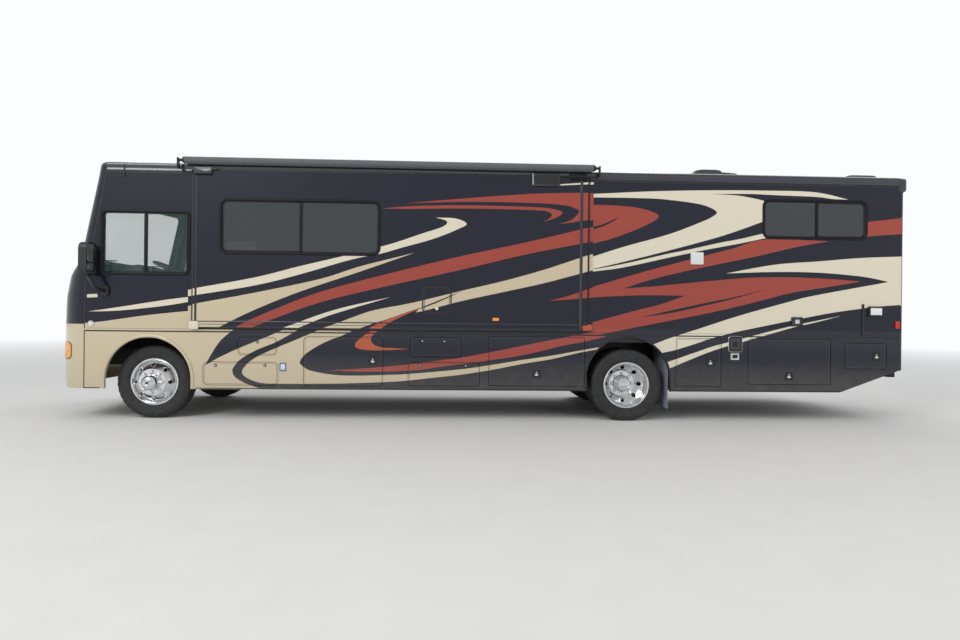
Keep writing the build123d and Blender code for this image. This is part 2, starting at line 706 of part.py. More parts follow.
# Engine and gearbox block with the driveshaft to the rear axle.
ENGINE_FRONT = 380.0
ENGINE_LENGTH = 870.0
ENGINE_HALF = 310.0
ENGINE_LOW = 650.0
ENGINE_CLEAR = 20.0
GEARBOX_LENGTH = 650.0
GEARBOX_HALF = 150.0
GEARBOX_LOW = 620.0
GEARBOX_HIGH = 860.0
SHAFT_RADIUS = 45.0
SHAFT_HEIGHT = 720.0
SHAFT_LAP = 10.0
SHAFT_RISE = 20.0
engine_rear = ENGINE_FRONT + ENGINE_LENGTH
gearbox_rear = engine_rear + GEARBOX_LENGTH
engine = block(ENGINE_FRONT, engine_rear, -ENGINE_HALF, ENGINE_HALF, ENGINE_LOW, FLOOR_LOW - ENGINE_CLEAR)
gearbox = block(engine_rear, gearbox_rear, -GEARBOX_HALF, GEARBOX_HALF, GEARBOX_LOW, GEARBOX_HIGH)
shaft_start = Vector(at(gearbox_rear - SHAFT_LAP), 0, SHAFT_HEIGHT)
shaft_end = Vector(at(REAR_AXLE - DIFFERENTIAL_RADIUS), 0, HUB_HEIGHT + SHAFT_RISE)
shaft_plane = Plane(origin=shaft_start, z_dir=shaft_end - shaft_start)
shaft = extrude(shaft_plane * Circle(SHAFT_RADIUS), amount=(shaft_end - shaft_start).length)
save("drivetrain", engine + gearbox + shaft)

# Tanks: a holding tank beside the shaft and the fuel tank behind the rear axle.
TANK_TOP = 850.0
TANK_SIDE = 400.0
HOLDING_START = bay_front[2] + 130.0
HOLDING_LENGTH = 1900.0
HOLDING_LOW = 560.0
HOLDING_IN = 110.0
FUEL_START = REAR_AXLE + 940.0
FUEL_LENGTH = 1400.0
FUEL_LOW = 500.0
FUEL_IN = 180.0
TANK_ROUND = 40.0
holding_tank = block(HOLDING_START, HOLDING_START + HOLDING_LENGTH, -TANK_SIDE, -HOLDING_IN, HOLDING_LOW, TANK_TOP)
fuel_tank = block(FUEL_START, FUEL_START + FUEL_LENGTH, -TANK_SIDE, FUEL_IN, FUEL_LOW, TANK_TOP)
save("tanks", *[
    fillet(tank.edges().filter_by(Axis.X), TANK_ROUND) for tank in (holding_tank, fuel_tank)
])

# Exhaust: muffler, straight pipe over the axle, and a tail that drops below the bumper.
PIPE_RADIUS = 38.0
PIPE_Y = 300.0
PIPE_HEIGHT = 725.0
PIPE_FRONT = gearbox_rear - 400.0
PIPE_BEND = 260.0
TAIL_DROP_START = BODY_LENGTH - 1000.0
TAIL_DROP_END = BODY_LENGTH - 500.0
TAIL_PIPE_HEIGHT = 470.0
TIP_RADIUS = 45.0
TIP_LENGTH = 150.0
TIP_END = BODY_LENGTH - 130.0
MUFFLER_RADIUS = 110.0
MUFFLER_LENGTH = 900.0
MUFFLER_FRONT = bay_front[2] + 280.0
MUFFLER_SHIFT = 60.0
pipe_path = FilletPolyline(
    (at(PIPE_FRONT), PIPE_Y, PIPE_HEIGHT),
    (at(TAIL_DROP_START), PIPE_Y, PIPE_HEIGHT),
    (at(TAIL_DROP_END), PIPE_Y, TAIL_PIPE_HEIGHT),
    (at(TIP_END - TIP_LENGTH / 2), PIPE_Y, TAIL_PIPE_HEIGHT),
    radius=PIPE_BEND,
)
pipe = sweep(Plane(origin=pipe_path @ 0, z_dir=pipe_path % 0) * Circle(PIPE_RADIUS), path=pipe_path)
tip = along(TIP_RADIUS, TIP_END - TIP_LENGTH, TIP_END, PIPE_Y, TAIL_PIPE_HEIGHT)
muffler = along(MUFFLER_RADIUS, MUFFLER_FRONT, MUFFLER_FRONT + MUFFLER_LENGTH, PIPE_Y - MUFFLER_SHIFT,
                PIPE_HEIGHT)
save("exhaust", pipe + muffler + tip)

# Front axle: drop beam, kingpin bosses and leaf springs under the rails.
kingpin_y = FRONT_WHEEL_Y - KINGPIN_INSET
beam_low = HUB_HEIGHT - BEAM_DROP - BEAM_HEIGHT / 2
link_top = HUB_HEIGHT + BOSS_HEIGHT / 2 - LINK_TRIM
link_front = FRONT_AXLE - LINK_WIDTH / 2
link_rear = FRONT_AXLE + LINK_WIDTH / 2
beam = block(FRONT_AXLE - BEAM_WIDTH / 2, FRONT_AXLE + BEAM_WIDTH / 2,
             -kingpin_y + LINK_IN, kingpin_y - LINK_IN, beam_low, beam_low + BEAM_HEIGHT)
kingpin = Pos(at(FRONT_AXLE), kingpin_y, HUB_HEIGHT)
boss = kingpin * Cylinder(BOSS_RADIUS, BOSS_HEIGHT)
boss_hole = kingpin * Cylinder(KINGPIN_RADIUS + PIN_FIT, BOSS_HEIGHT + CUT_PAST)
link = block(link_front, link_rear, kingpin_y - LINK_IN - LINK_OVERLAP, kingpin_y - LINK_OUT, beam_low, link_top)
link += block(link_front, link_rear, kingpin_y - LINK_OUT - LINK_OVERLAP / 2,
              kingpin_y - KINGPIN_RADIUS - PIN_CLEAR, HUB_HEIGHT - BOSS_HEIGHT / 2 + LINK_TRIM / 2, link_top)


def springs(axle, low):
    """Leaf springs: leaves of falling length, with a block down to the axle."""
    middle = RAIL_Y + RAIL_WIDTH / 2
    y0 = middle - SPRING_WIDTH / 2
    y1 = middle + SPRING_WIDTH / 2
    under = RAIL_BOTTOM - SPRING_DROP
    pack = block(axle - SPRING_SEAT_HALF, axle + SPRING_SEAT_HALF, y0, y1, low, under)
    for i in range(SPRING_LEAVES):
        reach = SPRING_LENGTH / 2 * (1.0 - LEAF_STEP * (SPRING_LEAVES - 1 - i))
        pack += block(axle - reach, axle + reach, y0, y1, under + LEAF * i, under + LEAF * (i + 1))
    for end in (-1, 1):
        s = axle + end * (SPRING_LENGTH - SHACKLE) / 2
        pack += block(s - SHACKLE / 2, s + SHACKLE / 2, y0, y1, RAIL_BOTTOM - SHACKLE_DROP, RAIL_BOTTOM)
    return pack


front_side = boss + link + springs(FRONT_AXLE, beam_low)
front_axle = beam + front_side + mirrored(front_side)
front_axle -= boss_hole
front_axle -= mirrored(boss_hole)
save("front_axle", front_axle)


def knuckle():
    """Steering knuckle: kingpin, a yoke above and below the boss, and the wheel's spindle."""
    body = kingpin * Cylinder(KINGPIN_RADIUS, BOSS_HEIGHT + 2 * YOKE_GAP + 2 * YOKE_HEIGHT)
    plate = kingpin_y + BOSS_RADIUS + PLATE_GAP
    for end in (-1, 1):
        z = HUB_HEIGHT + end * (BOSS_HEIGHT / 2 + YOKE_GAP + YOKE_HEIGHT / 2)
        body += Pos(at(FRONT_AXLE), kingpin_y, z) * Cylinder(BOSS_RADIUS, YOKE_HEIGHT)
        body += block(FRONT_AXLE - YOKE_WIDTH / 2, FRONT_AXLE + YOKE_WIDTH / 2, kingpin_y,
                      plate + PLATE_THICKNESS, z - YOKE_HEIGHT / 2, z + YOKE_HEIGHT / 2)
    body += block(FRONT_AXLE - PLATE_HALF_WIDTH, FRONT_AXLE + PLATE_HALF_WIDTH, plate,
                  plate + PLATE_THICKNESS, HUB_HEIGHT - PLATE_HALF_HEIGHT, HUB_HEIGHT + PLATE_HALF_HEIGHT)
    spindle_end = FRONT_WHEEL_Y + SPINDLE_END
    return body + across(SPINDLE_RADIUS, FRONT_AXLE, (plate + spindle_end) / 2, spindle_end - plate, HUB_HEIGHT)


right_knuckle = knuckle()
save("knuckle_right", right_knuckle)
save("knuckle_left", mirrored(right_knuckle))

# Rear axle: tube housing with a round middle, spindles and leaf springs.
housing_end = REAR_WHEEL_Y - TWIN_SPACING - LIP_OFFSET - HOUSING_END
rear_spindle_end = REAR_WHEEL_Y + HUB_NOSE_REAR - HUB_WALL
rear_axle = across(HOUSING_RADIUS, REAR_AXLE, 0, 2 * housing_end, HUB_HEIGHT)
rear_axle += across(DIFFERENTIAL_RADIUS, REAR_AXLE, 0, DIFFERENTIAL_WIDTH, HUB_HEIGHT)
rear_axle += across(REAR_SPINDLE_RADIUS, REAR_AXLE, 0, 2 * rear_spindle_end, HUB_HEIGHT)
rear_springs = springs(REAR_AXLE, HUB_HEIGHT)
save("rear_axle", rear_axle + rear_springs + mirrored(rear_springs))


def turned(profile, station, y_middle):
    """Revolve (radius, offset) points about the axle through a wheel's middle; offsets point outward."""
    points = [(at(station) + r, y_middle + offset, HUB_HEIGHT) for r, offset in profile]
    axle = Axis((at(station), 0, HUB_HEIGHT), (0, 1, 0))
    return revolve(make_face(Polyline(*points, close=True)), axle)


def ring_of(solid, count, station):
    """The copies of a solid about the axle."""
    axle = Axis((at(station), 0, HUB_HEIGHT), (0, 1, 0))
    return [solid.rotate(axle, 360 / count * i) for i in range(count)]


def drilled(rim, station, y_hole):
    hole = across(HAND_HOLE_RADIUS, station, y_hole, HAND_HOLE_DEPTH, HUB_HEIGHT + HAND_HOLE_CIRCLE)
    for cutter in ring_of(hole, HAND_HOLES, station):
        rim -= cutter
    return rim


def lugged(rim, station, y_face):
    lug = across(LUG_RADIUS, station, y_face, 2 * LUG_HEIGHT, HUB_HEIGHT + LUG_CIRCLE)
    for nut in ring_of(lug, LUGS, station):
        rim += nut
    return rim


BARREL_IN = RIM_RADIUS - RIM_SHEET
LIP_IN = LIP_OFFSET - LIP_WIDTH
SEAT_OFFSET = LIP_IN - BEAD_SEAT
HUB_OUT = HUB_RADIUS + HUB_WALL
barrel_outside = [
    (RIM_RADIUS, LIP_OFFSET),
    (LIP_RADIUS, LIP_OFFSET),
    (LIP_RADIUS, LIP_IN),
    (RIM_RADIUS, SEAT_OFFSET),
    (RIM_RADIUS, -SEAT_OFFSET),
    (LIP_RADIUS, -LIP_IN),
    (LIP_RADIUS, -LIP_OFFSET),
    (BARREL_IN, -LIP_OFFSET),
]

# Front rims: the disc domes outward past the lip and the hub's nose stands out of it.
DISC_BACK = DISC_OFFSET - DISC_SHEET
NOSE_STEPS = [
    # radius, how far behind the nose's tip
    (0.0, 0.0),
    (42.0, 3.0),
    (72.0, 18.0),
    (HUB_RADIUS, 38.0),
]
front_profile = [(radius, HUB_NOSE_FRONT - back) for radius, back in NOSE_STEPS] + [
    (HUB_RADIUS, DISC_OFFSET),
    (DISC_FLAT_RADIUS, DISC_OFFSET),
    (BARREL_IN, LIP_OFFSET - DISC_RUN),
    (BARREL_IN, LIP_IN),
] + barrel_outside + [
    (BARREL_IN, LIP_OFFSET - DISC_RUN - RIM_SHEET),
    (DISC_FLAT_RADIUS, DISC_BACK),
    (HUB_OUT, DISC_BACK),
    (HUB_OUT, HUB_BACK),
    (SPINDLE_RADIUS + PIN_FIT, HUB_BACK),
    (SPINDLE_RADIUS + PIN_FIT, SPINDLE_END + HUB_CLEAR),
    (0, SPINDLE_END + HUB_CLEAR),
]
front_rim = drilled(turned(front_profile, FRONT_AXLE, FRONT_WHEEL_Y), FRONT_AXLE, FRONT_WHEEL_Y + LIP_OFFSET)
front_rim = lugged(front_rim, FRONT_AXLE, FRONT_WHEEL_Y + DISC_OFFSET)
save("front_rim_right", front_rim)
save("front_rim_left", mirrored(front_rim))

# Rear rims: both discs meet between the twins, with the hub's nose in the outer dish.
DISH_RUN = 20.0
DISH_SHEET = 16.0
HUB_END = DISC_OFFSET + 2 * DISC_SHEET + HUB_CLEAR
rear_half = [
    (BARREL_IN, LIP_IN),
] + barrel_outside + [
    (BARREL_IN, -LIP_OFFSET + DISH_RUN),
    (DISC_FLAT_RADIUS, -DISC_OFFSET),
    (HUB_OUT, -DISC_OFFSET),
    (HUB_OUT, -DISC_OFFSET + DISC_SHEET),
    (DISC_FLAT_RADIUS, -DISC_OFFSET + DISC_SHEET),
    (BARREL_IN, -LIP_OFFSET + DISH_RUN + DISH_SHEET),
]
hub_profile = [
    (0, HUB_NOSE_REAR),
    (HUB_RADIUS - HUB_CLEAR, HUB_NOSE_REAR - HUB_CLEAR / 2),
    (HUB_RADIUS, HUB_NOSE_REAR - HUB_WALL),
    (HUB_OUT, -DISC_OFFSET + 2 * DISC_SHEET),
    (HUB_OUT, -HUB_END),
    (REAR_SPINDLE_RADIUS + PIN_FIT, -HUB_END),
    (REAR_SPINDLE_RADIUS + PIN_FIT, HUB_NOSE_REAR - HUB_WALL + HUB_CLEAR),
    (0, HUB_NOSE_REAR - HUB_WALL + HUB_CLEAR),
]
rear_outer = turned(rear_half, REAR_AXLE, REAR_WHEEL_Y)
twin_plane = Plane(origin=(0, REAR_WHEEL_Y - DISC_OFFSET, 0), z_dir=(0, 1, 0))
rear_rim = rear_outer + mirror(rear_outer, about=twin_plane) + turned(hub_profile, REAR_AXLE, REAR_WHEEL_Y)
rear_rim = drilled(rear_rim, REAR_AXLE, REAR_WHEEL_Y - DISC_OFFSET)
rear_rim = lugged(rear_rim, REAR_AXLE, REAR_WHEEL_Y - DISC_OFFSET + DISC_SHEET)
save("rear_rims_right", rear_rim)
save("rear_rims_left", mirrored(rear_rim))

# Tyres: beads on the rim's seats, bulged sidewalls and a flat tread. The bead's slope goes on
# from the rim's lip, so the two meet face to face.
bead_slope = BEAD_SEAT / (LIP_RADIUS - RIM_RADIUS)
tyre_profile = [
    (RIM_RADIUS, SEAT_OFFSET),
    (SIDEWALL_BULGE, SEAT_OFFSET + (SIDEWALL_BULGE - RIM_RADIUS) * bead_slope),
    (TYRE_RADIUS - SHOULDER_DROP, TYRE_HALF - SHOULDER_IN),
    (TYRE_RADIUS, TREAD_HALF),
]
tyre_profile += [(r, -offset) for r, offset in reversed(tyre_profile)]
front_tyre = turned(tyre_profile, FRONT_AXLE, FRONT_WHEEL_Y)
save("front_tyre_right", front_tyre)
save("front_tyre_left", mirrored(front_tyre))
rear_tyres = [turned(tyre_profile, REAR_AXLE, y) for y in (REAR_WHEEL_Y, REAR_WHEEL_Y - TWIN_SPACING)]
save("rear_tyres_right", *rear_tyres)
save("rear_tyres_left", *[mirrored(tyre) for tyre in rear_tyres])

# Mud flaps behind the rear tyres.
FLAP_GAP = 62.0
FLAP_SHEET = 8.0
FLAP_LOW = 170.0
FLAP_SIDE = 5.0
FLAP_TOP = 10.0
flap_start = REAR_AXLE + TYRE_RADIUS + FLAP_GAP
flap = block(flap_start, flap_start + FLAP_SHEET, REAR_WHEEL_Y - TWIN_SPACING - TYRE_HALF,
             HALF_WIDTH - SKIRT_PANEL - FLAP_SIDE, FLAP_LOW, FLOOR_LOW - FLAP_TOP)
save("mud_flaps", flap, mirrored(flap))

# Rear bumper on arms from a cradle under the rails, with the hitch receiver.
BUMPER_SIDE = 139.0
BUMPER_HEIGHT = 100.0
BUMPER_FRONT = 30.0
BUMPER_PROUD = 10.0
BUMPER_ROUND = 30.0
CRADLE_START = BODY_LENGTH - 330.0
CRADLE_LENGTH = 100.0
CRADLE_HEIGHT = 80.0
RECEIVER_OUT = 64.0
RECEIVER_IN = 51.0
RECEIVER_DROP = 130.0
RECEIVER_FRONT = BODY_LENGTH - 380.0
RECEIVER_REAR = BODY_LENGTH + 50.0
RECEIVER_BACK_WALL = 50.0
PIN_HOLE = 8.0
bumper_half = HALF_WIDTH - BUMPER_SIDE
receiver_z = TAIL_HEIGHT - RECEIVER_DROP
cradle_low = RAIL_BOTTOM - CRADLE_HEIGHT
cradle_end = CRADLE_START + CRADLE_LENGTH
rail_out = RAIL_Y + RAIL_WIDTH
bumper = block(WALL_REAR - BUMPER_FRONT, BODY_LENGTH + BUMPER_PROUD, -bumper_half, bumper_half,
               TAIL_HEIGHT - BUMPER_HEIGHT, TAIL_HEIGHT)
bumper = fillet(bumper.edges().filter_by(Axis.Z).group_by(Axis.X)[-1], BUMPER_ROUND)
receiver = block(RECEIVER_FRONT, RECEIVER_REAR, -RECEIVER_OUT / 2, RECEIVER_OUT / 2,
                 receiver_z - RECEIVER_OUT / 2, receiver_z + RECEIVER_OUT / 2)
receiver_hole = block(RECEIVER_FRONT + RECEIVER_BACK_WALL, RECEIVER_REAR + CUT_PAST,
                      -RECEIVER_IN / 2, RECEIVER_IN / 2,
                      receiver_z - RECEIVER_IN / 2, receiver_z + RECEIVER_IN / 2)
pin_hole = across(PIN_HOLE, BODY_LENGTH, 0, 2 * RECEIVER_OUT, receiver_z)
cradle = block(CRADLE_START, cradle_end, -rail_out, rail_out, cradle_low, RAIL_BOTTOM)
bumper_arm = block(cradle_end, WALL_REAR - BUMPER_FRONT, RAIL_Y, rail_out, cradle_low, RAIL_BOTTOM)
rear_frame = bumper + cradle + bumper_arm + mirrored(bumper_arm) + receiver
save("rear_bumper", rear_frame - receiver_hole - pin_hole)

# Slide-out room: an outer wall with its window and range vent, floor, ceiling and two ends, open
# to the inside.
room_front = SLIDE_FRONT + SLIDE_GAP
room_rear = SLIDE_REAR - SLIDE_GAP
room_low = SLIDE_LOW + SLIDE_GAP
room_high = SLIDE_HIGH - SLIDE_GAP
room = on_side(-1, room_front, room_rear, -SLIDE_PROUD, SLIDE_DEPTH, room_low, room_high)
room -= on_side(-1, room_front + SLIDE_SHELL, room_rear - SLIDE_SHELL, WALL - SLIDE_PROUD,
                SLIDE_DEPTH + CUT_PAST, room_low + SLIDE_SHELL, room_high - SLIDE_SHELL)
room -= window_hole(SLIDE_WINDOW, -1)
vent_rear = SLIDE_REAR - RANGE_VENT_REAR
vent_top = SLIDE_HIGH - RANGE_VENT_DROP
room += on_side(-1, vent_rear - RANGE_VENT_LENGTH, vent_rear, -SLIDE_PROUD - RANGE_VENT_PROUD, -SLIDE_PROUD,
                vent_top - RANGE_VENT_HEIGHT, vent_top)
save("slide_room", room)
save("slide_window", window_unit(SLIDE_WINDOW, -1, WALL, SLIDE_PROUD))

# Awning over the slide-out room: a roller on two brackets.
TOPPER_RADIUS = 42.0
TOPPER_LAP = 180.0
TOPPER_OUT = 75.0
TOPPER_HEIGHT = 3300.0
TOPPER_BRACKET = 40.0
TOPPER_BRACKET_IN = 20.0
TOPPER_BRACKET_DROP = 260.0
topper = along(TOPPER_RADIUS, SLIDE_FRONT - TOPPER_LAP, SLIDE_REAR + TOPPER_LAP - 2 * TOPPER_BRACKET_IN,
               -HALF_WIDTH - TOPPER_OUT, TOPPER_HEIGHT)
for s in (room_front + TOPPER_BRACKET_IN, room_rear - TOPPER_BRACKET_IN - TOPPER_BRACKET):
    topper += on_side(-1, s, s + TOPPER_BRACKET, -TOPPER_OUT, -SLIDE_PROUD,
                      room_high - TOPPER_BRACKET_DROP, TOPPER_HEIGHT)
save("slide_topper", topper)

# Entry door with its window.
entry = round_rect_prism(ENTRY_FRONT + DOOR_GAP, ENTRY_REAR - DOOR_GAP, ENTRY_LOW + DOOR_GAP,
                         ENTRY_HIGH - DOOR_GAP, ENTRY_ROUND - DOOR_GAP, INNER_HALF, HALF_WIDTH)
save("entry_door", entry - window_hole(ENTRY_WINDOW, 1))
save("entry_window", window_unit(ENTRY_WINDOW, 1, WALL, sliding=False))

# Mirrors: a rounded housing on a bent arm, with its foot on the wall below the cab window.
MIRROR_START = 655.0
MIRROR_DEPTH = 110.0
MIRROR_WIDTH = 210.0
MIRROR_LOW = 1825.0
MIRROR_HIGH = 2232.0
MIRROR_ROUND = 75.0
MIRROR_EDGE = 24.0
MIRROR_RIM = 14.0
MIRROR_RECESS = 10.0
ARM_RADIUS = 22.0
ARM_BEND = 60.0
ARM_HEIGHT = 1640.0
FOOT_START = 805.0
FOOT_LENGTH = 90.0
FOOT_LOW = 1580.0
FOOT_HIGH = 1700.0
FOOT_PROUD = 26.0
mirror_out = HALF_WIDTH + MIRROR_REACH
mirror_middle = mirror_out - MIRROR_WIDTH / 2
mirror_end = MIRROR_START + MIRROR_DEPTH
housing = front_prism(mirror_out - MIRROR_WIDTH, mirror_out, MIRROR_LOW, MIRROR_HIGH, MIRROR_ROUND,
                      MIRROR_START, mirror_end)
housing = fillet(housing.edges().group_by(Axis.X)[0], MIRROR_EDGE)
housing -= front_prism(mirror_out - MIRROR_WIDTH + MIRROR_RIM, mirror_out - MIRROR_RIM,
                       MIRROR_LOW + MIRROR_RIM, MIRROR_HIGH - MIRROR_RIM, MIRROR_ROUND - MIRROR_RIM,
                       mirror_end - MIRROR_RECESS, mirror_end + CUT_PAST)
arm_path = FilletPolyline(
    (at(FOOT_START + FOOT_LENGTH / 2), HALF_WIDTH + FOOT_PROUD / 2, ARM_HEIGHT),
    (at(FOOT_START), mirror_middle, ARM_HEIGHT + ARM_RADIUS),
    (at(MIRROR_START + MIRROR_DEPTH / 2), mirror_middle, MIRROR_LOW + MIRROR_EDGE),
    radius=ARM_BEND,
)
arm = sweep(Plane(origin=arm_path @ 0, z_dir=arm_path % 0) * Circle(ARM_RADIUS), path=arm_path)
foot = round_rect_prism(FOOT_START, FOOT_START + FOOT_LENGTH, FOOT_LOW, FOOT_HIGH, FOOT_LENGTH / 3,
                        HALF_WIDTH, HALF_WIDTH + FOOT_PROUD)
side_mirror = housing + arm + foot
save("mirrors", side_mirror, mirrored(side_mirror))

# Roof units: an air conditioner that falls away to the rear, and vents with domed lids.
AC_FRONT = bay_front[6] - 100.0
AC_SECTIONS = [
    # rise above the roof, front station behind AC_FRONT, length, width, corner radius
    (0.0, 0.0, 800.0, 680.0, 60.0),
    (120.0, 20.0, 775.0, 660.0, 80.0),
    (215.0, 60.0, 560.0, 600.0, 110.0),
    (268.0, 110.0, 330.0, 500.0, 120.0),
]


def unit_loft(front, y, base, rows):
    """A housing on the roof: rounded rectangles lofted through the rows' heights."""
    faces = []
    for rise, back, length, width, corner in rows:
        middle = at(front + back + length / 2)
        faces.append(Pos(middle, y, base + rise) * RectangleRounded(length, width, corner))
    return loft(faces, ruled=True)


VENTS = [
    # station, y
    (BODY_LENGTH - 365.0, 489.0 - HALF_WIDTH),
    (REAR_AXLE + 340.0, 0.0),
    (bay_front[3] - 320.0, 200.0),
]
VENT_SIZE = 400.0
VENT_RISE = 45.0
CURB_LAP = 20.0
VENT_ROWS = [
    # rise, front station behind the vent's front, length, width, corner radius
    (0.0, 0.0, VENT_SIZE, VENT_SIZE, 40.0),
    (VENT_RISE * 0.6, 8.0, VENT_SIZE - 16.0, VENT_SIZE - 16.0, 50.0),
    (VENT_RISE, 45.0, VENT_SIZE - 90.0, VENT_SIZE - 90.0, 80.0),
]
roof_units = [unit_loft(AC_FRONT, 0.0, ROOF_TOP, AC_SECTIONS)]
for s, y in VENTS:
    half = VENT_SIZE / 2
    high = roof_height(s - half, max(0.0, abs(y) - half))
    curb = block(s - half, s + half, y - half, y + half, WALL_TOP, high + CURB_LAP) - roof
    roof_units.append(unit_loft(s - half, y, high, VENT_ROWS) + curb)
save("roof_units", *roof_units)

# Rear ladder: two bent rails with rungs, on the rear wall and over the roof's edge.
LADDER_TUBE = 14.0
RUNG_RADIUS = 11.0
LADDER_SIDE = 269.0
LADDER_WIDTH = 380.0
LADDER_LOW = 1350.0
LADDER_HIGH = 3480.0
LADDER_BEND = 60.0
LADDER_HOOK = 350.0
FOOT_GAP = 1.3
RUNGS = 7
RUNG_LOW = 130.0
RUNG_TOP_GAP = 120.0
ladder_s = TOTAL_LENGTH - LADDER_TUBE
ladder_out = HALF_WIDTH - LADDER_SIDE
ladder_in = ladder_out - LADDER_WIDTH
ladder_foot = BODY_LENGTH - LADDER_HOOK
ladder = None
for y in (ladder_in, ladder_out):
    path = FilletPolyline(
        (at(BODY_LENGTH), y, LADDER_LOW),
        (at(ladder_s), y, LADDER_LOW),
        (at(ladder_s), y, LADDER_HIGH),
        (at(ladder_foot), y, LADDER_HIGH),
        (at(ladder_foot), y, roof_height(ladder_foot, y) + FOOT_GAP),
        radius=LADDER_BEND,
    )
    tube = sweep(Plane(origin=path @ 0, z_dir=path % 0) * Circle(LADDER_TUBE), path=path)
    ladder = tube if ladder is None else ladder + tube
rung_pitch = (LADDER_HIGH - LADDER_LOW - RUNG_LOW - RUNG_TOP_GAP) / (RUNGS - 1)
for i in range(RUNGS):
    ladder += across(RUNG_RADIUS, ladder_s, (ladder_in + ladder_out) / 2, LADDER_WIDTH,
                     LADDER_LOW + RUNG_LOW + rung_pitch * i)
save("ladder", ladder)

# Patio awning, rolled up on the kerb side.
AWNING_FRONT = bay_front[2] - 120.0
AWNING_REAR = bay_front[6] - 200.0
AWNING_HEIGHT = 3120.0
AWNING_RADIUS = 55.0
AWNING_OUT = 75.0
AWNING_ARM = 50.0
AWNING_ARM_IN = 60.0
AWNING_ARM_LOW = 1250.0
awning = along(AWNING_RADIUS, AWNING_FRONT, AWNING_REAR, HALF_WIDTH + AWNING_OUT, AWNING_HEIGHT)
for s in (AWNING_FRONT + AWNING_ARM_IN, AWNING_REAR - AWNING_ARM_IN - AWNING_ARM):
    awning += on_side(1, s, s + AWNING_ARM, -AWNING_OUT, 0, AWNING_ARM_LOW, AWNING_HEIGHT)
save("patio_awning", awning)

# Dashboard with instrument hood, steering column and wheel.
DASH_SIDE = 64.0
DASH_FRONT = 680.0
dash_half = INNER_HALF - DASH_SIDE
dash_outline = [
    (DASH_FRONT, FLOOR_TOP),
    (DASH_FRONT, 1780.0),
    (DASH_FRONT + 140.0, 1860.0),
    (DASH_FRONT + 420.0, 1800.0),
    (DASH_FRONT + 500.0, 1600.0),
    (DASH_FRONT + 330.0, 1400.0),
    (DASH_FRONT + 280.0, FLOOR_TOP),
]
hood_outline = [
    (DASH_FRONT + 110.0, 1840.0),
    (DASH_FRONT + 220.0, 1990.0),
    (DASH_FRONT + 380.0, 2010.0),
    (DASH_FRONT + 470.0, 1900.0),
    (DASH_FRONT + 470.0, 1700.0),
    (DASH_FRONT + 110.0, 1700.0),
]
SEAT_Y = 650.0
HOOD_WIDTH = 560.0
WHEEL_STATION = 1330.0
WHEEL_HEIGHT = 1990.0
WHEEL_TILT = 24.0
WHEEL_RADIUS = 205.0
WHEEL_RIM = 15.0
SPOKE_WIDTH = 34.0
SPOKE_SHEET = 14.0
COLUMN_RADIUS = 35.0
COLUMN_LENGTH = 400.0
dash = side_prism(dash_outline, -dash_half, dash_half)
dash += side_prism(hood_outline, -SEAT_Y - HOOD_WIDTH / 2, -SEAT_Y + HOOD_WIDTH / 2)
wheel_place = Pos(at(WHEEL_STATION), -SEAT_Y, WHEEL_HEIGHT) * Rot(0, WHEEL_TILT, 0)
dash += wheel_place * Torus(WHEEL_RADIUS, WHEEL_RIM)
for angle in (0, 90):
    dash += wheel_place * Rot(0, 0, angle) * Box(2 * WHEEL_RADIUS - WHEEL_RIM, SPOKE_WIDTH, SPOKE_SHEET)
dash += wheel_place * Pos(0, 0, -COLUMN_LENGTH / 2) * Cylinder(COLUMN_RADIUS, COLUMN_LENGTH)
save("dashboard", dash)

# Cab seats: cushion, raked back with headrest and a pedestal on the floor.
SEAT_FRONT = 1480.0
CUSHION_LENGTH = 420.0
CUSHION_HALF = 250.0
CUSHION_LOW = 1520.0
CUSHION_HIGH = 1650.0
BACK_THICKNESS = 130.0
BACK_REAR = SLIDE_FRONT - 20.0
BACK_HALF = 240.0
BACK_LOW = 1600.0
BACK_HIGH = 2280.0
PEDESTAL_HALF = 160.0
PEDESTAL_IN = 80.0
PEDESTAL_LENGTH = 300.0
SEAT_LAP = 10.0


def seat(y):
    cushion = block(SEAT_FRONT, SEAT_FRONT + CUSHION_LENGTH, y - CUSHION_HALF, y + CUSHION_HALF,
                    CUSHION_LOW, CUSHION_HIGH)
    back = block(BACK_REAR - BACK_THICKNESS, BACK_REAR, y - BACK_HALF, y + BACK_HALF, BACK_LOW, BACK_HIGH)
    pedestal_front = SEAT_FRONT + PEDESTAL_IN
    pedestal = block(pedestal_front, pedestal_front + PEDESTAL_LENGTH, y - PEDESTAL_HALF, y + PEDESTAL_HALF,
                     FLOOR_TOP, CUSHION_LOW + SEAT_LAP)
    return cushion + back + pedestal


save("cab_seats", seat(-SEAT_Y), seat(SEAT_Y))
print("done", len(os.listdir("parts")), "nodes")
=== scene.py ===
"""Looks of the motorhome, built around its frame: paint, glass, trim, wheels and cab."""
import math

import bmesh
import bpy
from mathutils import Matrix, Vector
from mathutils.geometry import delaunay_2d_cdt


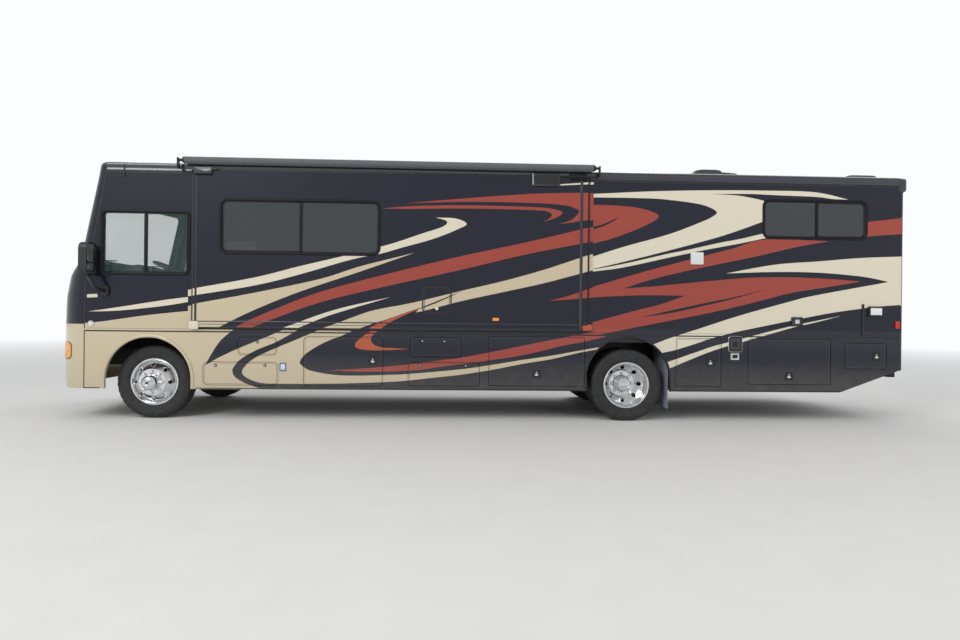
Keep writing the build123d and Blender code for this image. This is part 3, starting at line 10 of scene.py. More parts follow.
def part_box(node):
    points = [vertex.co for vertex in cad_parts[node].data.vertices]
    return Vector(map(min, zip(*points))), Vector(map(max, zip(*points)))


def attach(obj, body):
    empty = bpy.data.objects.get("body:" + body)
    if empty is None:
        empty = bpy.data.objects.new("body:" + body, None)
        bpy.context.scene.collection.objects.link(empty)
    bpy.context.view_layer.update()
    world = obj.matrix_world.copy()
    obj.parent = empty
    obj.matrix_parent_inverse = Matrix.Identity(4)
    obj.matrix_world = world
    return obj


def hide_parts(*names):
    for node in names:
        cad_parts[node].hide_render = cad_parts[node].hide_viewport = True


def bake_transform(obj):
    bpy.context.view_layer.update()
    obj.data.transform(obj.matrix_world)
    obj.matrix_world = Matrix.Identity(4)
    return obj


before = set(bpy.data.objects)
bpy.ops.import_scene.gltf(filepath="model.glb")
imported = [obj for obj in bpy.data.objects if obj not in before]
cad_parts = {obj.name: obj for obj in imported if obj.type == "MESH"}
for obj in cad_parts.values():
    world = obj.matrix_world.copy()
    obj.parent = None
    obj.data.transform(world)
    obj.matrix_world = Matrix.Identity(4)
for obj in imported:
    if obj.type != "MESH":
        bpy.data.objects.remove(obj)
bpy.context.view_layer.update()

# The camera, from the photograph: its place, its heading and its focal length in pixels.
IMAGE_WIDTH = 960.0
IMAGE_HEIGHT = 640.0
FOCAL_PIXELS = 582.33
SENSOR = 36.0
CAMERA_AT = Vector((-0.3899, -8.8595, 1.3173))
CAMERA_YAW = 0.0391
CAMERA_ROLL = -0.0103

# Places read from the frame, in metres. The driver's side faces -Y.
SIDE = -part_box("locker_door_left_4")[0].y
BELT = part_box("left_skirt")[1].z
WALL_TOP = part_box("rear_wall")[1].z
REAR_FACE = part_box("rear_wall")[1].x
SKIRT_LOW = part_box("left_skirt")[0].z
SLIDE_LOW, SLIDE_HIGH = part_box("slide_room")
SLIDE_FACE = -SLIDE_LOW.y
ENTRY_LOW, ENTRY_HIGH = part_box("entry_door")
HUB_HEIGHT = (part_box("front_tyre_left")[0].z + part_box("front_tyre_left")[1].z) / 2

# Stations run back from the front end, so x is a station less this length.
STATION_SHIFT = 5.7
# The roof sheet is white above this height and behind this x, and dark metal elsewhere.
ROOF_WHITE_LOW = WALL_TOP + 0.0345
ROOF_WHITE_START = -4.60


def camera_axes():
    """Right, down and forward of the photograph's camera."""
    ahead = Vector((math.sin(CAMERA_YAW), math.cos(CAMERA_YAW), 0.0))
    level = Vector((math.cos(CAMERA_YAW), -math.sin(CAMERA_YAW), 0.0))
    down = Vector((0.0, 0.0, -1.0))
    right = level * math.cos(CAMERA_ROLL) + down * math.sin(CAMERA_ROLL)
    below = down * math.cos(CAMERA_ROLL) - level * math.sin(CAMERA_ROLL)
    return right, below, ahead


CAMERA_RIGHT, CAMERA_BELOW, CAMERA_AHEAD = camera_axes()


def on_side(px, py, depth=SIDE):
    """The point (x, z) of the driver's side, at a distance from the middle, that a pixel shows."""
    ray = (CAMERA_AHEAD + CAMERA_RIGHT * ((px - IMAGE_WIDTH / 2) / FOCAL_PIXELS)
           + CAMERA_BELOW * ((py - IMAGE_HEIGHT / 2) / FOCAL_PIXELS))
    spot = CAMERA_AT + ray * ((-depth - CAMERA_AT.y) / ray.y)
    return spot.x, spot.z


# Materials


def scaled(colour, share, lift=0.0):
    """A colour made lighter or darker by a share, and lifted a little."""
    return tuple(min(1.0, c * share + lift) for c in colour)


class Nodes:
    """A material's node tree around one Principled shader."""

    def __init__(self, name, roughness, metallic=0.0):
        self.material = bpy.data.materials.new(name)
        self.material.use_nodes = True
        self.tree = self.material.node_tree
        self.shader = self.tree.nodes["Principled BSDF"]
        self.set(Roughness=roughness, Metallic=metallic)
        self.place = self.add("ShaderNodeTexCoord").outputs["Object"]

    def feed(self, value, socket):
        """Links an output to a socket, or sets the socket to a number or a colour."""
        if isinstance(value, bpy.types.NodeSocket):
            self.tree.links.new(value, socket)
        elif socket.type == "RGBA":
            socket.default_value = (*value, 1.0)
        else:
            socket.default_value = value

    def set(self, **values):
        for name, value in values.items():
            self.feed(value, self.shader.inputs[name.replace("_", " ")])

    def add(self, kind, inputs=(), **values):
        """A new node; inputs are (socket, value) rows, the other values are its settings."""
        node = self.tree.nodes.new(kind)
        for name, value in values.items():
            setattr(node, name, value)
        for name, value in inputs:
            self.feed(value, node.inputs[name])
        return node

    def noise(self, scale, detail=3.0, stretch=None, roughness=0.5):
        place = self.place
        if stretch:
            place = self.add("ShaderNodeMapping", [("Scale", stretch), ("Vector", place)]).outputs["Vector"]
        return self.add("ShaderNodeTexNoise", [("Scale", scale), ("Detail", detail), ("Roughness", roughness),
                                               ("Vector", place)]).outputs["Fac"]

    def waves(self, direction, scale):
        return self.add("ShaderNodeTexWave", [("Scale", scale), ("Vector", self.place)], wave_type="BANDS",
                        bands_direction=direction).outputs["Fac"]

    def ramp(self, source, stops):
        """A colour ramp between two (position, colour) stops."""
        node = self.add("ShaderNodeValToRGB", [("Fac", source)])
        for element, (position, colour) in zip(node.color_ramp.elements, stops):
            element.position = position
            element.color = (*colour, 1.0)
        return node.outputs["Color"]

    def mix(self, share, first, second):
        return self.add("ShaderNodeMix", [(0, share), (6, first), (7, second)], data_type="RGBA").outputs[2]

    def span(self, source, low, high, to_low=0.0, to_high=1.0):
        return self.add("ShaderNodeMapRange", [("Value", source), ("From Min", low), ("From Max", high),
                                               ("To Min", to_low), ("To Max", to_high)]).outputs["Result"]

    def maths(self, operation, *values):
        return self.add("ShaderNodeMath", enumerate(values), operation=operation).outputs["Value"]

    def axis(self, name):
        return self.add("ShaderNodeSeparateXYZ", [("Vector", self.place)]).outputs[name]

    def bump(self, source, strength, distance):
        self.set(Normal=self.add("ShaderNodeBump", [("Strength", strength), ("Distance", distance),
                                                    ("Height", source)]).outputs["Normal"])

    def colour(self, source):
        self.set(Base_Color=source)

    def rough(self, source, low, high):
        self.set(Roughness=self.span(source, 0.0, 1.0, low, high))


# Road dust thins out between two heights. Paint has a fine bump of this depth.
DUST = (0.30, 0.27, 0.22)
DUST_LOW = 0.36
DUST_HIGH = 0.86
PAINT_BUMP = 0.0006


def car_paint(name, colour, flake):
    """Clear-coated paint with fine flake, a faint orange peel and road dust low on the body."""
    n = Nodes(name, 0.35)
    n.set(Coat_Weight=1.0, Coat_Roughness=0.03, Coat_IOR=1.42, Specular_IOR_Level=0.12)
    light = scaled(colour, 1.0 + flake, flake * 0.004)
    grain = n.ramp(n.noise(2600.0, 1.0), [(0.38, colour), (0.62, light)])
    height = n.span(n.axis("Z"), DUST_LOW, DUST_HIGH, 0.34, 0.0)
    dirt = n.maths("MULTIPLY", n.noise(7.0, 6.0, roughness=0.65), height)
    n.colour(n.mix(dirt, grain, DUST))
    n.rough(n.noise(60.0, 2.0), 0.30, 0.42)
    n.bump(n.noise(420.0, 2.0), 0.03, PAINT_BUMP)
    return n.material


def split_paint(name, colour, lining, limit):
    """Paint outside the body and a lining colour inside it, split by the distance from the middle."""
    n = Nodes(name, 0.35)
    n.set(Coat_Weight=0.6, Coat_Roughness=0.05)
    reach = n.maths("ABSOLUTE", n.axis("Y"))
    outside = n.span(reach, limit - 0.002, limit + 0.002)
    grain = n.mix(n.noise(300.0, 3.0), lining, scaled(lining, 0.86))
    n.colour(n.mix(outside, grain, colour))
    n.bump(n.noise(500.0, 2.0), 0.05, PAINT_BUMP)
    return n.material


def plain(name, colour, roughness, metallic=0.0, *, grain, spread=0.14, strength=0.2, **sockets):
    """A moulded, cast or rolled surface: speckled colour, uneven gloss and a fine bump."""
    n = Nodes(name, roughness, metallic)
    n.set(**sockets)
    fine = n.noise(grain, 4.0)
    patch = n.noise(9.0, 4.0, roughness=0.6)
    speckle = n.mix(fine, scaled(colour, 1.0 - spread), colour)
    n.colour(n.mix(n.span(patch, 0.3, 0.7), speckle, scaled(colour, 1.0 + spread)))
    n.rough(patch, max(0.02, roughness - 0.07), min(1.0, roughness + 0.09))
    n.bump(fine, strength, 0.0005)
    return n.material


def brushed(name, colour, roughness, stretch):
    """Metal with fine drawn lines along one axis."""
    n = Nodes(name, roughness, 1.0)
    lines = n.noise(90.0, 3.0, stretch=stretch)
    n.colour(n.mix(lines, scaled(colour, 0.86), colour))
    n.rough(lines, max(0.03, roughness - 0.06), roughness + 0.08)
    n.bump(lines, 0.05, 0.0004)
    return n.material


def pane(name, colour, alpha):
    """Tinted glass, faintly wavy and a little lighter in patches."""
    n = Nodes(name, 0.03)
    n.set(IOR=1.5, Alpha=alpha, Specular_IOR_Level=0.9, Coat_Weight=1.0, Coat_Roughness=0.02)
    n.colour(n.mix(n.noise(3.0, 2.0), colour, scaled(colour, 1.25, 0.002)))
    n.bump(n.noise(2.2, 1.0), 0.015, 0.02)
    return n.material


def lens(name, colour, glow):
    """A moulded lamp lens with prisms under a clear face; its lighter bands along the prisms are a painted
    glint.
    """
    n = Nodes(name, 0.12)
    n.set(Coat_Weight=0.35, Coat_Roughness=0.03, Specular_IOR_Level=0.3)
    prisms = n.waves("Z", 45.0)
    # Painted glint: the colour turns to the lighter glow colour in bands along the prisms.
    n.colour(n.mix(prisms, colour, glow))
    n.bump(prisms, 0.35, 0.001)
    return n.material


def cloth(name, colour, weave):
    """Woven fabric: two crossed thread waves with a soft colour change."""
    n = Nodes(name, 0.85)
    n.set(Sheen_Weight=0.25, Sheen_Roughness=0.5)
    woven = n.maths("MAXIMUM", n.waves("X", weave), n.waves("Z", weave))
    tone = n.mix(n.noise(6.0, 4.0), scaled(colour, 0.82), colour)
    n.colour(n.mix(woven, scaled(colour, 0.7), tone))
    n.bump(woven, 0.25, 0.0006)
    return n.material


def hide(name, colour):
    """Leather: pebbled grain, worn lighter on a broad noise, with painted shade darkening the grain's
    valleys.
    """
    n = Nodes(name, 0.5)
    n.set(Coat_Weight=0.15, Coat_Roughness=0.4)
    cells = n.add("ShaderNodeTexVoronoi", [("Scale", 260.0), ("Vector", n.place)],
                  feature="DISTANCE_TO_EDGE").outputs["Distance"]
    tone = n.mix(n.noise(5.0, 5.0), scaled(colour, 0.78), scaled(colour, 1.12))
    # Painted shade: the colour darkens towards the edges of the grain's cells, its valleys.
    n.colour(n.mix(n.span(cells, 0.0, 0.12, 0.35, 0.0), tone, scaled(colour, 0.6)))
    n.bump(cells, 0.3, 0.0008)
    return n.material


def rubber(name, colour, roughness):
    """Matt rubber, greyer in broad worn patches."""
    n = Nodes(name, roughness)
    patch = n.noise(14.0, 6.0, roughness=0.7)
    n.colour(n.mix(n.span(patch, 0.35, 0.75), colour, scaled(colour, 1.7, 0.012)))
    n.rough(patch, roughness - 0.1, roughness + 0.12)
    n.bump(n.noise(700.0, 3.0), 0.25, 0.0005)
    return n.material


def roof_finish(name):
    """White roof sheet, with its lower edge and its front in dark metal."""
    n = Nodes(name, 0.5)
    n.set(Coat_Weight=0.3, Coat_Roughness=0.1)
    fine = n.noise(160.0, 4.0)
    sheet = n.mix(fine, (0.52, 0.52, 0.50), (0.62, 0.62, 0.60))
    metal = n.mix(fine, (0.030, 0.028, 0.044), (0.042, 0.040, 0.060))
    high = n.span(n.axis("Z"), ROOF_WHITE_LOW, ROOF_WHITE_LOW + 0.002)
    behind = n.span(n.axis("X"), ROOF_WHITE_START - 0.002, ROOF_WHITE_START)
    white = n.maths("MULTIPLY", high, behind)
    n.colour(n.mix(white, metal, sheet))
    n.rough(white, 0.24, 0.6)
    n.bump(fine, 0.15, 0.0006)
    return n.material


def planks(name, top):
    """Wood-look floor boards for the cabin, above a black underside."""
    n = Nodes(name, 0.4)
    bricks = n.add("ShaderNodeTexBrick", [
        ("Scale", 1.0), ("Brick Width", 0.9), ("Row Height", 0.13), ("Mortar Size", 0.002),
        ("Color1", (0.30, 0.19, 0.11)), ("Color2", (0.24, 0.15, 0.09)), ("Mortar", (0.06, 0.04, 0.03)),
        ("Vector", n.place),
    ]).outputs["Color"]
    grain = n.noise(12.0, 6.0, stretch=(1.0, 9.0, 9.0))
    boards = n.mix(n.span(grain, 0.3, 0.7, 0.0, 0.35), bricks, (0.12, 0.07, 0.04))
    above = n.span(n.axis("Z"), top - 0.003, top - 0.002)
    n.colour(n.mix(above, (0.018, 0.018, 0.019), boards))
    n.bump(grain, 0.1, 0.0006)
    return n.material


PAINT = {
    "dark": car_paint("paint_dark", (0.0045, 0.0055, 0.0135), 0.9),
    "beige": car_paint("paint_beige", (0.555, 0.475, 0.330), 0.06),
    "white": car_paint("paint_pearl", (0.68, 0.625, 0.495), 0.05),
    "red": car_paint("paint_brick", (0.295, 0.050, 0.034), 0.22),
    "copper": car_paint("paint_copper", (0.40, 0.085, 0.035), 0.22),
}
LINING = (0.52, 0.47, 0.39)
WALL_SKIN = split_paint("wall_skin", (0.0048, 0.0052, 0.0105), LINING, 1.25)
TRIM = plain("black_trim", (0.014, 0.014, 0.016), 0.42, grain=900.0)
GLOSS_BLACK = plain("gloss_black", (0.010, 0.010, 0.012), 0.16, grain=600.0, strength=0.04, Coat_Weight=0.8)
FRAME = plain("window_frame", (0.006, 0.006, 0.009), 0.45, grain=900.0, strength=0.1, Specular_IOR_Level=0.25)
SEAL = rubber("seal_rubber", (0.012, 0.012, 0.013), 0.6)
RAIL = plain("rail_metal", (0.021, 0.020, 0.034), 0.26, grain=500.0, strength=0.05, Coat_Weight=0.9,
             Coat_Roughness=0.08)
CHROME = plain("chrome", (0.78, 0.79, 0.80), 0.07, 1.0, grain=120.0, strength=0.02, spread=0.04)
ALLOY = brushed("polished_alloy", (0.80, 0.81, 0.82), 0.13, (1.0, 14.0, 1.0))
ALUMINIUM = brushed("aluminium", (0.62, 0.63, 0.64), 0.32, (14.0, 1.0, 1.0))
CHASSIS = plain("chassis_black", (0.018, 0.018, 0.019), 0.55, grain=220.0, strength=0.35)
CAST = plain("cast_iron", (0.06, 0.055, 0.05), 0.65, 0.5, grain=260.0, strength=0.5)
SHEET = plain("bay_sheet", (0.14, 0.14, 0.145), 0.5, 0.6, grain=120.0)
TANK = plain("tank_plastic", (0.035, 0.036, 0.038), 0.5, grain=700.0)
EXHAUST = plain("exhaust_steel", (0.24, 0.21, 0.18), 0.42, 1.0, grain=90.0, spread=0.3)
TYRE = rubber("tyre_rubber", (0.017, 0.017, 0.018), 0.72)
FLAP = rubber("flap_rubber", (0.20, 0.21, 0.26), 0.55)
UNIT = plain("unit_plastic", (0.045, 0.045, 0.05), 0.4, grain=800.0)
WHITE_PLASTIC = plain("white_plastic", (0.70, 0.71, 0.70), 0.35, grain=700.0, spread=0.05)
BLUE_PLASTIC = plain("blue_plastic", (0.10, 0.17, 0.36), 0.4, grain=700.0)
TINT = pane("tinted_glass", (0.012, 0.017, 0.022), 0.86)
CLEAR = pane("cab_glass", (0.06, 0.125, 0.105), 0.19)
MIRROR = plain("mirror_glass", (0.86, 0.88, 0.90), 0.02, 1.0, grain=40.0, strength=0.01, spread=0.02)
AMBER = lens("amber_lens", (0.85, 0.26, 0.02), (1.0, 0.45, 0.06))
RED_LENS = lens("red_lens", (0.42, 0.012, 0.012), (0.75, 0.04, 0.03))
CLEAR_LENS = lens("clear_lens", (0.62, 0.64, 0.66), (0.9, 0.9, 0.9))
LAMP_GLASS = pane("lamp_glass", (0.55, 0.57, 0.58), 0.22)
CLOTH = cloth("awning_cloth", (0.125, 0.130, 0.145), 260.0)
LEATHER = hide("seat_leather", (0.36, 0.29, 0.21))
DASH = plain("dash_plastic", (0.075, 0.068, 0.062), 0.55, grain=600.0, strength=0.35)
LINER = plain("cabin_lining", LINING, 0.7, grain=300.0, spread=0.06)
BOARDS = planks("floor_boards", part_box("floor")[1].z)
ROOF = roof_finish("roof_and_rails")
# The door bead's brown-grey is painted shadow: it stands for the dark line that shade draws round each door.
SHADOW_BEAD = plain("door_bead_shadow", (0.085, 0.078, 0.068), 0.4, grain=900.0)

# Finishes of the frame's nodes. Doors and hatches are dark paint, tyres rubber and rims alloy.
NODE_FINISH = [
    (CHASSIS, "frame_rails cross_members front_axle rear_axle rear_bumper knuckle_left knuckle_right"),
    (CAST, "drivetrain"), (EXHAUST, "exhaust"), (TANK, "tanks"), (BOARDS, "floor"), (ROOF, "roof"),
    (WALL_SKIN, "left_wall right_wall slide_room entry_door"),
    (PAINT["dark"], "rear_wall front_cap left_skirt right_skirt hood"),
    (SHEET, "bay_floors bay_backs bay_dividers"), (TINT, "side_windows slide_window entry_window"),
    (CLEAR, "windscreen"), (RED_LENS, "lamps"), (TRIM, "grille mirrors"), (UNIT, "roof_units"),
    (ALUMINIUM, "ladder entry_steps"), (RAIL, "patio_awning slide_topper"), (DASH, "dashboard"),
    (LEATHER, "cab_seats"), (FLAP, "mud_flaps"),
]


def finish_cad_nodes():
    """Gives every node of the frame its finish."""
    finishes = {name: material for material, names in NODE_FINISH for name in names.split()}
    for name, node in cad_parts.items():
        other = ALLOY
        if "door" in name or "hatch" in name:
            other = PAINT["dark"]
        elif "tyre" in name:
            other = TYRE
        node.data.materials.clear()
        node.data.materials.append(finishes.get(name, other))


# Mesh helpers


def pairs(loop):
    """Each item of a closed row with the one that follows it."""
    loop = list(loop)
    return zip(loop, loop[1:] + loop[:1])


def catmull(points, steps):
    """Points of a smooth line through the given ones, the last left out."""
    if len(points) < 3:
        return list(points[:-1])
    ends = [[2 * a - b for a, b in zip(points[0], points[1])],
            [2 * a - b for a, b in zip(points[-1], points[-2])]]
    row = [ends[0]] + list(points) + [ends[1]]
    made = []
    for i in range(1, len(row) - 2):
        for k in range(steps):
            t = k / steps
            made.append(tuple(
                0.5 * (2 * p1 + (p2 - p0) * t + (2 * p0 - 5 * p1 + 4 * p2 - p3) * t * t
                       + (3 * p1 - p0 - 3 * p2 + p3) * t ** 3)
                for p0, p1, p2, p3 in zip(row[i - 1], row[i], row[i + 1], row[i + 2])))
    return made


def closed_loop(runs):
    """A closed outline of smooth runs; each run ends in a corner at the next run's first point."""
    return [point for run, following in pairs(runs) for point in catmull(list(run) + [following[0]], 6)]


def rounded(x0, x1, z0, z1, radius, along=0):
    """A rounded rectangle as a closed outline, with extra points along its level sides."""
    steps = 7
    loop = []
    for cx, cz, start in ((x1 - radius, z0 + radius, -90), (x1 - radius, z1 - radius, 0),
                          (x0 + radius, z1 - radius, 90), (x0 + radius, z0 + radius, 180)):
        for k in range(steps + 1):
            angle = math.radians(start + 90.0 * k / steps)
            loop.append((cx + radius * math.cos(angle), cz + radius * math.sin(angle)))
        if start in (0, 180):
            far = x0 + radius if start == 0 else x1 - radius
            x, z = loop[-1]
            loop += [(x + (far - x) * k / (along + 1), z) for k in range(1, along + 1)]
    return loop


def finely(loop, step=0.05):
    """Adds points along an outline's long edges."""
    made = []
    for (u0, v0), (u1, v1) in pairs(loop):
        count = max(1, math.ceil(math.hypot(u1 - u0, v1 - v0) / step))
        made += [(u0 + (u1 - u0) * k / count, v0 + (v1 - v0) * k / count) for k in range(count)]
    return made


def circle(radius, count):
    turns = [2 * math.pi * k / count for k in range(count)]
    return [(radius * math.cos(turn), radius * math.sin(turn)) for turn in turns]


def inside(point, loop):
    """Whether a point lies in a closed outline."""
    x, z = point
    found = False
    x0, z0 = loop[-1]
    for x1, z1 in loop:
        if (z0 > z) != (z1 > z) and x < (x1 - x0) * (z - z0) / (z1 - z0) + x0:
            found = not found
        x0, z0 = x1, z1
    return found


def within(point, outline, holes):
    """Whether a point lies in an outline and in none of its holes."""
    return inside(point, outline) and not any(inside(point, hole) for hole in holes)


def extent(loop):
    xs = [p[0] for p in loop]
    zs = [p[1] for p in loop]
    return min(xs), max(xs), min(zs), max(zs)


def overlap(a, b):
    """Whether two extents meet."""
    return a[0] <= b[1] and b[0] <= a[1] and a[2] <= b[3] and b[2] <= a[3]


def triangles(loops, keep, extra):
    """Triangles of a plane cut along closed outlines; keep(centre) gives a material or None."""
    # The plane is cut in millimetres, so that close points stay apart.
    fine = 1000.0
    points = []
    edges = []
    for loop in loops:
        start = len(points)
        points += [Vector((p[0] * fine, p[1] * fine)) for p in loop]
        edges += [(start + k, start + (k + 1) % len(loop)) for k in range(len(loop))]
    points += [Vector((p[0] * fine, p[1] * fine)) for p in extra]
    made, _, faces, _, _, _ = delaunay_2d_cdt(points, edges, [], 0, 0.01)
    places = [(v.x / fine, v.y / fine) for v in made]
    chosen = []
    for face in faces:
        material = keep(tuple(sum(places[i][k] for i in face) / len(face) for k in (0, 1)))
        if material is not None:
            chosen.append((face, material))
    return places, chosen


class Piece:
    """Collects faces of several materials and becomes one object that rides on a body."""

    def __init__(self):
        self.verts = []
        self.faces = []
        self.labels = []
        self.materials = []
        self.smooth = {}

    def material(self, material):
        if material not in self.materials:
            self.materials.append(material)
        return self.materials.index(material)

    def add(self, verts, faces, material):
        base = len(self.verts)
        self.verts += [tuple(v) for v in verts]
        self.faces += [[base + i for i in face] for face in faces]
        self.labels += [self.material(material)] * len(faces)

    def bend(self, mesh):
        """Gives the faces of a curved plate the surface's own directions, for smooth shading."""
        normals = [None] * len(mesh.loops)
        for face in mesh.polygons:
            for index in face.loop_indices:
                wanted = self.smooth.get(mesh.loops[index].vertex_index, face.normal)
                match = wanted.dot(face.normal)
                normals[index] = wanted * (1 if match > 0 else -1) if abs(match) > 0.75 else face.normal
        mesh.normals_split_custom_set(normals)

    def done(self, name, body, slot=None, replaces=(), angle=32.0):
        """Makes the object; edges sharper than the angle, in degrees, stay sharp."""
        mesh = bpy.data.meshes.new(name)
        mesh.from_pydata(self.verts, [], self.faces)
        for material in self.materials:
            mesh.materials.append(material)
        mesh.polygons.foreach_set("material_index", self.labels)
        work = bmesh.new()
        work.from_mesh(mesh)
        bmesh.ops.recalc_face_normals(work, faces=work.faces)
        work.to_mesh(mesh)
        work.free()
        mesh.shade_smooth()
        mesh.set_sharp_from_angle(angle=math.radians(angle))
        if self.smooth:
            self.bend(mesh)
        mesh.update()
        made = bpy.data.objects.new(name, mesh)
        bpy.context.scene.collection.objects.link(made)
        if body:
            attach(made, body)
        if replaces:
            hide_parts(*replaces)
        return made


def slab(piece, loops, keep, place, thickness, extra=(), facing=None):
    """A closed plate: triangles cut from outlines, placed by place(u, v, depth) and given a back.

    On a curved plate facing(u, v) gives the surface's own direction, for smooth shading.
    """
    places, chosen = triangles(loops, keep, extra)
    used = sorted({i for face, _ in chosen for i in face})
    base = len(piece.verts)
    front = {old: base + new for new, old in enumerate(used)}
    back = {old: base + len(used) + new for new, old in enumerate(used)}
    for depth in (0.0, thickness):
        piece.verts += [tuple(place(*places[i], depth)) for i in used]
    if facing:
        for i in used:
            piece.smooth[front[i]] = piece.smooth[back[i]] = facing(*places[i])
    edges = {edge for face, _ in chosen for edge in pairs(face)}
    for face, material in chosen:
        faces = [[front[i] for i in face], [back[i] for i in reversed(face)]]
        faces += [[front[b], front[a], back[a], back[b]] for a, b in pairs(face) if (b, a) not in edges]
        piece.faces += faces
        piece.labels += [piece.material(material)] * len(faces)


def loft(piece, loops, material, closed=False):
    """Joins loops of equally many points: round to the first one, or capped at both ends."""
    count = len(loops)
    size = len(loops[0])
    faces = []
    for i in range(count if closed else count - 1):
        j = (i + 1) % count
        faces += [[i * size + k, i * size + m, j * size + m, j * size + k] for k, m in pairs(range(size))]
    if not closed:
        faces.append(list(range(size - 1, -1, -1)))
        faces.append([(count - 1) * size + k for k in range(size)])
    piece.add([v for loop in loops for v in loop], faces, material)


def sweep(piece, path, section, material, up=Vector((0.0, 0.0, 1.0))):
    """Carries a closed section of (across, up) points along an open path of points."""
    path = [Vector(p) for p in path]
    last = len(path) - 1
    loops = []
    for i, spot in enumerate(path):
        before = path[max(0, i - 1)]
        after = path[min(last, i + 1)]
        ahead = (after - before).normalized()
        across = ahead.cross(up)
        if across.length < 1e-6:
            across = ahead.cross(Vector((0.0, 1.0, 0.0)))
        across.normalize()
        lift = across.cross(ahead).normalized()
        stretch = 1.0
        if 0 < i < last:
            turn = (spot - before).normalized().dot((after - spot).normalized())
            stretch = 1.0 / max(0.5, math.sqrt(max(0.0, (1.0 + turn) / 2.0)))
        loops.append([spot + across * (a * stretch) + lift * b for a, b in section])
    loft(piece, loops, material)


def tube(piece, path, radius, material, count):
    sweep(piece, path, circle(radius, count), material)


def lathe(piece, profile, centre, axis, material, count, closed=False):
    """Turns (radius, along) points about an axis through centre; along runs with the axis."""
    axis = Vector(axis).normalized()
    helper = Vector((0.0, 0.0, 1.0)) if abs(axis.z) < 0.9 else Vector((1.0, 0.0, 0.0))
    first = axis.cross(helper).normalized()
    second = axis.cross(first).normalized()
    verts = []
    for c, s in circle(1.0, count):
        verts += [Vector(centre) + (first * c + second * s) * r + axis * t for r, t in profile]
    size = len(profile)
    poles = {i for i in range(size) if profile[i][0] < 1e-7}
    runs = [(i, (i + 1) % size) for i in range(size if closed else size - 1)]
    faces = []
    for k, m in pairs(range(count)):
        for i, j in runs:
            if i in poles and j in poles:
                continue
            face = [k * size + i, m * size + i, m * size + j, k * size + j]
            if i in poles:
                face.pop(1)
            elif j in poles:
                face.pop(2)
            faces.append(face)
    piece.add(verts, faces, material)


def beam(piece, x0, x1, y, half, z0, z1, bevel, material, segments=3):
    """A box with rounded edges: its ends, its middle and half width, and its heights."""
    low = Vector((x0, y - half, z0))
    high = Vector((x1, y + half, z1))
    size = high - low
    mesh = bmesh.new()
    bmesh.ops.create_cube(mesh, size=1.0)
    bmesh.ops.scale(mesh, vec=size, verts=mesh.verts)
    bmesh.ops.bevel(mesh, geom=mesh.edges[:], offset=min(bevel, min(size) * 0.49), segments=segments,
                    profile=0.5, affect="EDGES")
    mesh.verts.index_update()
    verts = [v.co + (low + high) / 2 for v in mesh.verts]
    faces = [[v.index for v in face.verts] for face in mesh.faces]
    mesh.free()
    piece.add(verts, faces, material)


